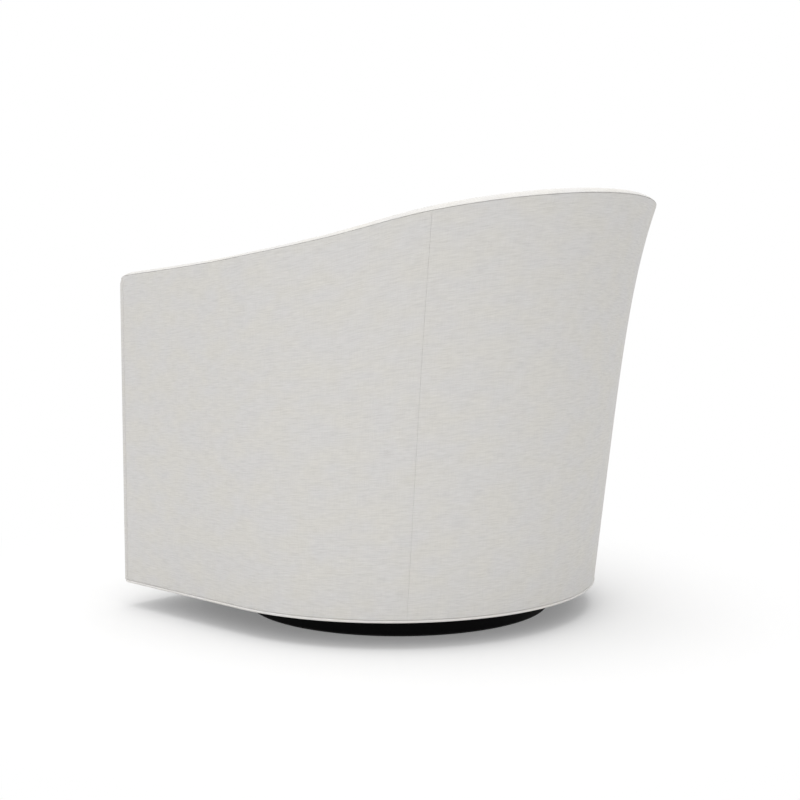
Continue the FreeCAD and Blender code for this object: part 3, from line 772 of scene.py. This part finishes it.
cloth = cloth_grid(stops(-panel_half, panel_half, 40, panel_round), stops(0, 1, 20, panel_round / 0.25),
                   front_face, lambda x, share: (x, 0.25 * share))
close_behind(cloth, front_behind)
panel = dress(finish_mesh("front_rail_panel", cloth), body_cloth, "seat", "body_fabric",
              "front_rail_cover", "front_rail_padding")
round_off(panel)

# %% [markdown]
# Three flat layers share the plan of the tub: the dust cover underneath, and the felt and the deck cloth
# over the springs. Their plan is a straight-sided shape with a round rear. A square grid is bent to it:
# its front half stays square and its rear half becomes half a disc, so that no quads meet in a point.


# %% Layers on the tub's plan
def plan_place(depth, level, front):
    """Puts (across, back) in -1 to 1 on the tub's plan at a level and a depth from the outside."""
    def place(across, back):
        if back <= 0:
            forward = back_centre - (front - back_centre) * back
            return Vector((across * (half_width - depth), -forward, level))
        side = across * math.sqrt(1 - back * back / 2)
        rear = back * math.sqrt(1 - across * across / 2)
        share = math.hypot(side, rear)
        edge = wall_point(half_width * math.atan2(side, rear), level, depth, depth)
        return Vector((edge.x * share, -back_centre + (edge.y + back_centre) * share, level))
    return place


def plan_sheet(low, thickness, depth, front, sag, count=36):
    """A level layer on the plan, which may sag in the middle."""
    def surface(level):
        flat = plan_place(depth, level, front)

        def place(across, back):
            point = flat(across, back)
            point.z -= sag * (1 - across ** 2) * (1 - back ** 2)
            return point
        return place

    ways = [2 * i / count - 1 for i in range(count + 1)]
    cloth = cloth_grid(ways, ways, surface(low + thickness),
                       lambda across, back: (0.37 * across, 0.4 * back))
    close_behind(cloth, surface(low))
    return cloth


# %% Finishes of the hidden layers
def plain_cloth(name, dark, light, scale, relief):
    """An even cloth such as decking or dust cover: fine threads both ways on the flat place."""
    finish, shader = new_finish(name)
    flat = flat_place(finish)
    along = stretched_noise(finish, flat, (scale, scale / 20, 1), 2.0)
    over = stretched_noise(finish, flat, (scale / 20, scale, 1), 2.0)
    height = combine(finish, "ADD", along, over)
    link(finish, ramp(finish, combine(finish, "MULTIPLY", height, 0.5), (0.35, dark), (0.65, light)),
         shader.inputs["Base Color"])
    shader.inputs["Roughness"].default_value = 0.92
    shader.inputs["Sheen Weight"].default_value = 0.1
    raise_surface(finish, shader, height, relief)
    return finish


deck_cloth = plain_cloth("deck_cloth", (0.46, 0.45, 0.42), (0.62, 0.61, 0.58), 900, 0.0003)
dust_cloth = plain_cloth("dust_cover_cloth", (0.010, 0.010, 0.011), (0.03, 0.03, 0.032), 1100, 0.0002)
felt = soft_fill("grey_felt", ((0.16, 0.16, 0.165), (0.26, 0.26, 0.25)), 700, 0.0010)

# %% Deck cloth, felt and dust cover
deck_front = -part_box("seat_deck_cloth")[0].y
felt_low, felt_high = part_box("spring_insulator_pad")
cloth = plan_sheet(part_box("seat_deck_cloth")[0].z, 0.0016, pad_outer, deck_front, 0.0)
deck = dress(finish_mesh("seat_deck", cloth), deck_cloth, "seat", "deck_fabric", "seat_deck_cloth")
cloth = plan_sheet(felt_low.z, felt_high.z - felt_low.z, pad_outer, deck_front, 0.0)
felt_pad = dress(finish_mesh("spring_felt", cloth), felt, "seat", "felt_pad", "spring_insulator_pad")
dust_inset = 0.0065
dust_thickness = 0.0008
plate_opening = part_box("upper_swivel_plate")[1].x + 0.0004
cloth = plan_sheet(underside, dust_thickness, dust_inset, arm_front - dust_inset, 0.0)
for normal in (Vector((1, 0, 0)), Vector((0, 1, 0))):
    for side in (-1, 1):
        bmesh.ops.bisect_plane(cloth, geom=cloth.verts[:] + cloth.edges[:] + cloth.faces[:],
                               plane_co=normal * side * plate_opening, plane_no=normal)
hole = [face for face in cloth.faces
        if max(abs(v) for v in face.calc_center_median().xy) < plate_opening and abs(face.normal.z) > 0.5]
bmesh.ops.delete(cloth, geom=hole, context="FACES")
rims = [edge for edge in cloth.edges if edge.is_boundary]
bmesh.ops.bridge_loops(cloth, edges=rims)
bmesh.ops.recalc_face_normals(cloth, faces=cloth.faces[:])
dust = dress(finish_mesh("dust_cover_sheet", cloth), dust_cloth, "seat", "dust_cloth", "dust_cover")

# %% [markdown]
# Piping is a cord sewn into a folded strip of the body cloth. Here it is a round tube along a closed
# outline: a grid whose columns go round the cord and whose rows go along the outline, with its two
# seams merged. The flat place of the cloth then runs along the cord, as a real strip of piping does.


# %% Piping
def closed_way(points):
    """Length gone at each point of a closed outline, and the whole length."""
    ways = [0.0]
    for here, there in zip(points, points[1:] + points[:1]):
        ways.append(ways[-1] + (there - here).length)
    return ways


def piping(name, points, level, *nodes):
    """A round cord that follows a closed, level outline."""
    count = len(points)
    ways = closed_way(points)

    def place(turn, index):
        i = round(index) % count
        along = (points[(i + 1) % count] - points[i - 1]).normalized()
        out = Vector((along.y, -along.x, 0.0))
        reach = out * math.cos(turn) * welt_radius
        return Vector((points[i].x, points[i].y, level + math.sin(turn) * welt_radius)) + reach

    turns = [2 * math.pi * i / 10 for i in range(11)]
    cloth = cloth_grid(turns, [float(i) for i in range(count + 1)], place,
                       lambda turn, index: (ways[round(index)], turn * welt_radius))
    bmesh.ops.remove_doubles(cloth, verts=cloth.verts[:], dist=0.00005)
    bmesh.ops.recalc_face_normals(cloth, faces=cloth.faces[:])
    return dress(round_off(finish_mesh(name, cloth)), welt_cloth_painted_lighter, "seat", "welt_fabric", *nodes)


def corner_arc(centre, radius, start, end, count):
    """Points on an arc in plan, by its turns from the side towards the front."""
    turns = [start + (end - start) * i / count for i in range(count + 1)]
    return [centre + Vector((math.cos(turn), -math.sin(turn))) * radius for turn in turns]


def mirrored_outline(half):
    """A closed outline from one half that goes from the middle of the rear to the middle of the front."""
    other = [Vector((-point.x, point.y)) for point in reversed(half)]
    return half + [point for point in other if abs(point.x) > 1e-6]


# The piping is the body weave with its tones painted lighter: a painted highlight for the light that the
# round cord catches.
piping_tones_painted_lighter = ((0.70, 0.690, 0.665), (0.755, 0.745, 0.720), (0.80, 0.790, 0.766))
welt_cloth_painted_lighter = woven_cloth("piping_cloth_painted_lighter", piping_tones_painted_lighter, 0.04, 0.0002)
welt_depth = welt_radius - welt_proud
welt_corner = 4 * welt_radius
rear = [wall_point(quarter_run * i / 60, underside, welt_depth, welt_depth).xy for i in range(61)]
side = [Vector((half_width - welt_depth, -back_centre - (arm_front - back_centre - 0.012) * i / 12))
        for i in range(1, 13)]
front_corner = Vector((half_width - welt_depth - welt_corner, -(arm_front - welt_depth - welt_corner)))
arc = corner_arc(front_corner, welt_corner, 0.0, math.pi / 2, 8)
middle = [Vector((front_corner.x * (1 - i / 16), -(arm_front - welt_depth))) for i in range(1, 17)]
piping("bottom_piping", mirrored_outline(rear + side + arc + middle), underside + welt_radius, "bottom_welt")

# %% [markdown]
# The seat cushion is a boxed one: a top and a bottom panel, a boxing strip between them, and piping at
# both seams. Its plan has a round rear that fits the back, and a front that bows out a little. The top
# panel is a grid bent to that plan; one extrusion gives the bottom, and cuts in its upright edges give
# the boxing. The seams are pinned where the piping holds them, the panels get a little more cloth than
# they need, and the simulated pressure then makes the soft crown and the small pulls along the seams.

# %% Plan of the cushion
cushion_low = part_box("seat_cushion_cover")[0]
cushion_clearance = 0.003
cushion_bulge = 0.004
cushion_height = 0.138
cushion_crown = 0.024
cushion_corner = 0.034
cushion_bow = 4.0
cushion_edge = 0.005
cushion_side = half_width - arm_thickness - 0.007 - cushion_clearance - cushion_bulge
cushion_rear = half_width + flare(deck_level) - back_thickness_low - cushion_clearance - cushion_bulge
cushion_centre = back_centre - cushion_rear + cushion_side
cushion_front = arm_front + 0.004
top_seam = cushion_low.z + cushion_height
bottom_seam = cushion_low.z + cushion_edge
print("the cushion is", round(2 * cushion_side, 3), "m wide and",
      round(cushion_front + cushion_rear, 3), "m deep")


def cushion_point(across, back, inset, level):
    """Puts (across, back) in -1 to 1 on the cushion's plan."""
    radius = cushion_side - inset
    if back >= 0:
        side = across * math.sqrt(1 - back * back / 2) * radius
        forward = cushion_centre - back * math.sqrt(1 - across * across / 2) * radius
        return Vector((side, -forward, level))
    side = across * radius
    front = cushion_front - inset - side * side / (2 * cushion_bow)
    forward = cushion_centre - (front - cushion_centre) * back
    beyond = (abs(side) - radius) / cushion_corner + 1
    ahead = (forward - front) / cushion_corner + 1
    if beyond > 0 and ahead > 0:
        ease = max(beyond, ahead) / math.hypot(beyond, ahead) - 1
        side += math.copysign(beyond * ease * cushion_corner, side)
        forward += ahead * ease * cushion_corner
    return Vector((side, -forward, level))


def cushion_outline(inset, count=44):
    """The cushion's outline at an inset, from the middle of the rear to the middle of the front."""
    rear = [cushion_point(i / count, 1.0, inset, 0.0).xy for i in range(count + 1)]
    side = [cushion_point(1.0, 1 - 2 * i / (2 * count), inset, 0.0).xy for i in range(1, 2 * count + 1)]
    front = [cushion_point(1 - i / count, -1.0, inset, 0.0).xy for i in range(1, count + 1)]
    return rear + side + front


# %% The cushion
def boxing_way(point):
    """How far round the boxing a point lies from the middle of the rear, the same on both sides."""
    forward = -point.y
    if forward < cushion_centre:
        return cushion_side * math.atan2(abs(point.x), cushion_centre - forward)
    return cushion_side * math.pi / 2 + forward - cushion_centre + cushion_side - abs(point.x)


def crowned_top(across, back):
    crown = cushion_crown * (1 - abs(across) ** 2.8) * (1 - abs(back) ** 2.8)
    return cushion_point(across, back, 0.0, top_seam + 0.6 * crown)


def level_bottom(across, back):
    point = cushion_point(across, back, 0.0, bottom_seam)
    point.z -= (cushion_edge - 0.0005) * min(1.0, 12 * (1 - max(abs(across), abs(back))))
    return point


steps = 46
ways = [2 * i / steps - 1 for i in range(steps + 1)]
cloth = cloth_grid(ways, ways, crowned_top, lambda across, back: (0.3 * across, 0.3 * back))
close_behind(cloth, level_bottom)
uprights = [edge for edge in cloth.edges if abs(edge.verts[0].co.z - edge.verts[1].co.z) > 0.1]
bmesh.ops.subdivide_edges(cloth, edges=uprights, cuts=11, use_grid_fill=True)
flat = cloth.loops.layers.uv["cloth"]
for face in cloth.faces:
    heights = [vert.co.z for vert in face.verts]
    between = min(heights) > bottom_seam - 0.001 and max(heights) < top_seam + 0.001
    upright = between and abs(face.normal.z) < 0.3
    for loop in face.loops:
        spot = loop.vert.co
        loop[flat].uv = (boxing_way(spot), spot.z) if upright else (spot.x, spot.y)
print("the boxing has", len(uprights), "upright rows cut in 12")
cushion = finish_mesh("seat_cushion_pad", cloth)
seams = set()
for edge in cushion.data.edges:
    first, second = (cushion.data.vertices[i].co for i in edge.vertices)
    for seam in (top_seam, bottom_seam):
        if abs(first.z - seam) < 0.0002 and abs(second.z - seam) < 0.0002:
            seams.update(edge.vertices)
free = {vert.index for vert in cushion.data.vertices if vert.co.z > bottom_seam} - seams
dress(cushion, body_cloth, "seat", "body_fabric", "seat_cushion_core", "seat_cushion_cover")
puff(cushion, free, 3.5, 0.012, 0.014)
round_off(cushion)
reach = welt_radius + seam_gap
outline = mirrored_outline(cushion_outline(-reach))
piping("cushion_piping_top", outline, top_seam, "seat_cushion_welt_top")
piping("cushion_piping_bottom", outline, bottom_seam, "seat_cushion_welt_bottom")

# %% [markdown]
# The cushion's cover closes with a zip in the middle of the rear boxing: a woven tape with a raised coil
# along its middle. It is a narrow piece that hides against the back, so the tape is
# a grid on the round rear, and the coil is a few close ridges in its face.


# %% The zip
def zip_face(turn, share):
    tooth = 0.75 + 0.25 * math.cos(turn * zip_radius / 0.0016)
    coil = 0.0009 * math.exp(-((share - 0.5) / 0.16) ** 2) * tooth
    reach = zip_radius + zip_thickness * 0.6 + coil
    level = zip_low.z + (zip_high.z - zip_low.z) * share
    return Vector((reach * math.sin(turn), reach * math.cos(turn) - cushion_centre, level))


def zip_behind(turn, share):
    level = zip_low.z + (zip_high.z - zip_low.z) * share
    return Vector((zip_radius * math.sin(turn), zip_radius * math.cos(turn) - cushion_centre, level))


def dull_plastic(name, colour, light, roughness):
    """Moulded plastic or rubber: one colour that drifts a little, with a fine grain."""
    finish, shader = new_finish(name)
    where = solid_place(finish)
    grain = stretched_noise(finish, where, (900, 900, 900), 2.0)
    drift = stretched_noise(finish, where, (14, 14, 14), 2.0)
    link(finish, ramp(finish, drift, (0.35, colour), (0.7, light)), shader.inputs["Base Color"])
    shader.inputs["Roughness"].default_value = roughness
    raise_surface(finish, shader, grain, 0.0001)
    return finish


zip_low, zip_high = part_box("seat_cushion_zipper")
zip_thickness = 0.001
zip_radius = cushion_side + cushion_bulge + seam_gap
zip_turn = math.radians(57.5)
zip_cloth = dull_plastic("zip_tape", (0.60, 0.59, 0.565), (0.66, 0.65, 0.625), 0.6)
cloth = cloth_grid(stops(-zip_turn, zip_turn, 420), [i / 10 for i in range(11)], zip_face,
                   lambda turn, share: (turn * zip_radius, 0.009 * share))
close_behind(cloth, zip_behind)
dress(finish_mesh("cushion_zip", cloth), zip_cloth, "seat", "zip_tape", "seat_cushion_zipper")

# %% [markdown]
# The frame, the springs and the bearing keep their own meshes, because their shapes are right. Each
# only needs the finish of what it is made of. Timber is stretched rings and fine pores along its
# length, plywood shows its plies on its edges, steel is a metal with a faint cloudy roughness, and the
# plinth is a satin black lacquer over wood.


# %% Timber and board
def timber(name, dark, light, grain_scale, relief=0.0002):
    """Sawn wood whose grain runs along the axis with the smallest scale."""
    finish, shader = new_finish(name)
    where = solid_place(finish)
    rings = stretched_noise(finish, where, grain_scale, 3.0, 0.55, 0.4)
    pores = stretched_noise(finish, where, tuple(9 * v for v in grain_scale), 2.0, 0.6)
    colour = ramp(finish, rings, (0.3, dark), (0.5, light), (0.62, dark), (0.75, light))
    shade = ramp(finish, pores, (0.35, 0.82), (0.6, 1.0))
    link(finish, blend(finish, "MULTIPLY", 0.7, colour, shade), shader.inputs["Base Color"])
    shader.inputs["Roughness"].default_value = 0.62
    raise_surface(finish, shader, pores, relief)
    return finish


def plywood(name, dark, light):
    """Level plies: bands over the height, with a mild grain on the faces."""
    finish, shader = new_finish(name)
    where = solid_place(finish)
    plies = stretched_noise(finish, where, (2, 2, 620), 0.0, 0.5)
    grain = stretched_noise(finish, where, (14, 190, 14), 3.0, 0.6)
    colour = ramp(finish, plies, (0.4, dark), (0.6, light))
    shade = ramp(finish, grain, (0.3, 0.84), (0.65, 1.0))
    link(finish, blend(finish, "MULTIPLY", 0.8, colour, shade), shader.inputs["Base Color"])
    shader.inputs["Roughness"].default_value = 0.58
    raise_surface(finish, shader, grain, 0.0002)
    return finish


def bare_steel(name, dark, light, roughness):
    """Zinc plated or drawn steel with a cloudy roughness."""
    finish, shader = new_finish(name)
    where = solid_place(finish)
    cloud = stretched_noise(finish, where, (60, 60, 60), 3.0, 0.6)
    scratch = stretched_noise(finish, where, (900, 40, 40), 2.0, 0.6)
    link(finish, ramp(finish, cloud, (0.3, dark), (0.7, light)), shader.inputs["Base Color"])
    shader.inputs["Metallic"].default_value = 1.0
    rough = combine(finish, "ADD", combine(finish, "MULTIPLY", cloud, 0.2), roughness)
    link(finish, rough, shader.inputs["Roughness"])
    raise_surface(finish, shader, scratch, 0.00005)
    return finish


def black_lacquer(name):
    """Satin black paint with a trace of brush marks and dust."""
    finish, shader = new_finish(name)
    where = solid_place(finish)
    marks = stretched_noise(finish, where, (30, 30, 420), 2.0, 0.5)
    dust_marks = stretched_noise(finish, where, (120, 120, 120), 4.0, 0.7)
    paint = ramp(finish, dust_marks, (0.45, (0.0015, 0.0015, 0.0017)), (0.8, (0.005, 0.005, 0.0052)))
    link(finish, paint, shader.inputs["Base Color"])
    rough = combine(finish, "ADD", combine(finish, "MULTIPLY", dust_marks, 0.2), 0.5)
    link(finish, rough, shader.inputs["Roughness"])
    shader.inputs["Specular IOR Level"].default_value = 0.08
    raise_surface(finish, shader, marks, 0.0001)
    return finish


finishes = {
    "frame_wood": timber("poplar_frame", (0.42, 0.29, 0.16), (0.58, 0.43, 0.27), (60, 6, 60)),
    "frame_plywood": plywood("birch_plywood", (0.40, 0.28, 0.16), (0.60, 0.46, 0.30)),
    "base_plywood": plywood("plinth_plywood", (0.34, 0.24, 0.14), (0.52, 0.39, 0.25)),
    "plinth_black": black_lacquer("plinth_lacquer"),
    "backing_board": timber("grey_board", (0.30, 0.26, 0.21), (0.38, 0.33, 0.27), (40, 40, 40), 0.0001),
    "foot_rubber": dull_plastic("foot_rubber", (0.010, 0.010, 0.010), (0.022, 0.022, 0.022), 0.85),
    "zinc_steel": bare_steel("zinc_plate", (0.44, 0.45, 0.46), (0.60, 0.61, 0.62), 0.26),
    "bolt_steel": bare_steel("bright_bolts", (0.46, 0.46, 0.46), (0.62, 0.62, 0.61), 0.2),
    "spring_steel": bare_steel("spring_wire", (0.07, 0.07, 0.075), (0.14, 0.14, 0.145), 0.32),
    "clip_steel": bare_steel("clip_strap", (0.40, 0.40, 0.40), (0.55, 0.55, 0.54), 0.3),
    "ball_steel": bare_steel("polished_balls", (0.60, 0.60, 0.60), (0.66, 0.66, 0.66), 0.05),
    "cage_plastic": dull_plastic("cage_nylon", (0.70, 0.68, 0.62), (0.78, 0.76, 0.70), 0.45),
}
grain_across = timber("poplar_cross_rails", (0.42, 0.29, 0.16), (0.58, 0.43, 0.27), (6, 60, 60))
grain_upright = timber("poplar_posts", (0.42, 0.29, 0.16), (0.58, 0.43, 0.27), (60, 60, 6))
across_nodes = ("lower_front_rail", "seat_front_rail", "lower_back_rail", "seat_back_rail", "back_top_rail")
upright_nodes = ("arm_stump_left", "arm_stump_right", "side_post_left", "side_post_right",
                 "back_post_left", "back_post_right", "back_stile")

# %% Finish the frame's own pieces
covered = {name for name, node in frame["nodes"].items() if node.hide_render}
for entry in frame["record"]["subparts"]:
    name = entry["node"]
    if name in covered:
        continue
    finish = finishes[entry["material_slot"]]
    finish = grain_across if name in across_nodes else finish
    finish = grain_upright if name in upright_nodes else finish
    node = frame["nodes"][name]
    node.data.materials.clear()
    node.data.materials.append(finish)
shown = [name for name, node in frame["nodes"].items() if not node.hide_render]
print(len(shown), "pieces of the frame keep their own mesh")

# %% [markdown]
# The chair stands in an even white studio. A large sheet under it takes its shadow, and the world gives
# soft light from every side. A wide lamp overhead gives the top edge its bright line, and a weaker one on
# the photographer's side gives the round back its slow fall of tone. Rays that are seen meet plain white
# in the sky and on the far floor, so the white background puts no extra light on the pale cloth, which
# would burn out.

# %% Floor and backdrop
def seen_rays(nodes, links):
    """One for rays that are seen, directly or in a reflection, and nothing for rays that light."""
    path = nodes.new("ShaderNodeLightPath")
    seen = path.outputs["Is Camera Ray"]
    for kind in ("Is Glossy Ray", "Is Transmission Ray"):
        either = nodes.new("ShaderNodeMath")
        either.operation = "MAXIMUM"
        links.new(seen, either.inputs[0])
        links.new(path.outputs[kind], either.inputs[1])
        seen = either.outputs["Value"]
    return seen


def studio_white(name, strength):
    """A sky that is plain white where it is seen, and of a given strength where it lights."""
    sky = bpy.data.worlds.new(name)
    sky.use_nodes = True
    nodes, links = sky.node_tree.nodes, sky.node_tree.links
    level = nodes.new("ShaderNodeMix")
    level.data_type = "FLOAT"
    level.inputs[2].default_value = strength
    level.inputs[3].default_value = 1.0
    links.new(seen_rays(nodes, links), level.inputs["Factor"])
    links.new(level.outputs[0], nodes["Background"].inputs["Strength"])
    nodes["Background"].inputs["Color"].default_value = (1.0, 1.0, 1.0, 1.0)
    return sky


def floor_paper(name, near, far):
    """White paper that takes a shadow near the chair, lifted by a painted white glow seen only by the
    camera: a fifth of it next to the chair, fading to plain white farther out.
    """
    finish, shader = new_finish(name)
    nodes, links = finish.node_tree.nodes, finish.node_tree.links
    shader.inputs["Base Color"].default_value = (0.94, 0.94, 0.94, 1.0)
    shader.inputs["Roughness"].default_value = 0.9
    shader.inputs["Specular IOR Level"].default_value = 0.1
    away = nodes.new("ShaderNodeVectorMath")
    away.operation = "LENGTH"
    link(finish, solid_place(finish), away.inputs[0])
    fade = nodes.new("ShaderNodeMapRange")
    fade.interpolation_type = "SMOOTHSTEP"
    fade.inputs["From Min"].default_value = near
    fade.inputs["From Max"].default_value = far
    # A painted glow: a fifth of plain white is mixed into the seen floor even next to the chair, which
    # lightens its shadow.
    fade.inputs["To Min"].default_value = 0.2
    link(finish, away.outputs["Value"], fade.inputs["Value"])
    white = nodes.new("ShaderNodeEmission")
    mixed = nodes.new("ShaderNodeMixShader")
    share = combine(finish, "MULTIPLY", fade.outputs["Result"], seen_rays(nodes, links))
    link(finish, share, mixed.inputs["Fac"])
    link(finish, shader.outputs["BSDF"], mixed.inputs[1])
    link(finish, white.outputs["Emission"], mixed.inputs[2])
    link(finish, mixed.outputs["Shader"], nodes["Material Output"].inputs["Surface"])
    return finish


bpy.context.scene.world = studio_white("studio_sky", 0.70)
ground = bmesh.new()
just_below = Matrix.Translation((0, 0, -0.0005))
bmesh.ops.create_grid(ground, x_segments=2, y_segments=2, size=9.0, matrix=just_below)
floor = finish_mesh("studio_floor", ground)
floor.data.materials.append(floor_paper("floor_paper", 0.3, 1.1))


# %% Lamps
def soft_lamp(name, place, aim, size, power):
    """A wide square lamp that points at a place."""
    lamp = bpy.data.lights.new(name, "AREA")
    lamp.shape = "SQUARE"
    lamp.size = size
    lamp.energy = power
    holder = bpy.data.objects.new(name, lamp)
    bpy.context.scene.collection.objects.link(holder)
    holder.location = place
    holder.rotation_euler = (Vector(aim) - Vector(place)).to_track_quat("-Z", "Y").to_euler()
    return holder


middle_of_chair = (0.0, 0.05, 0.35)
soft_lamp("overhead", (0.2, 0.1, 3.2), middle_of_chair, 3.0, 60)
soft_lamp("camera_side", (2.6, 1.5, 2.2), middle_of_chair, 2.2, 13)
print("two lamps and a sky light the chair")

# %% [markdown]
# The camera stands where the outline of the plinth, the top edge and the seams say that the photograph
# was taken from: behind the sitter's left shoulder, at arm height, tilted down by five degrees.

# %% Camera
camera_distance = 2.613
camera_turn = math.radians(42.137)
camera_height = 0.6104
camera_tilt = math.radians(5.003)
aside = -0.0027
picture = bpy.data.cameras.new("camera")
picture.sensor_width = 36.0
picture.lens = 36.0 * 1385.5 / 800
viewer = bpy.data.objects.new("camera", picture)
bpy.context.scene.collection.objects.link(viewer)
back_way = Vector((math.cos(camera_turn), math.sin(camera_turn), 0.0))
side_way = Vector((math.sin(camera_turn), -math.cos(camera_turn), 0.0))
viewer.location = back_way * camera_distance + side_way * aside + Vector((0, 0, camera_height))
line = -back_way * math.cos(camera_tilt) - Vector((0, 0, math.sin(camera_tilt)))
viewer.rotation_euler = line.to_track_quat("-Z", "Y").to_euler()
bpy.context.scene.camera = viewer
bpy.context.scene.view_settings.view_transform = "Standard"
print("camera at", [round(v, 3) for v in viewer.location])
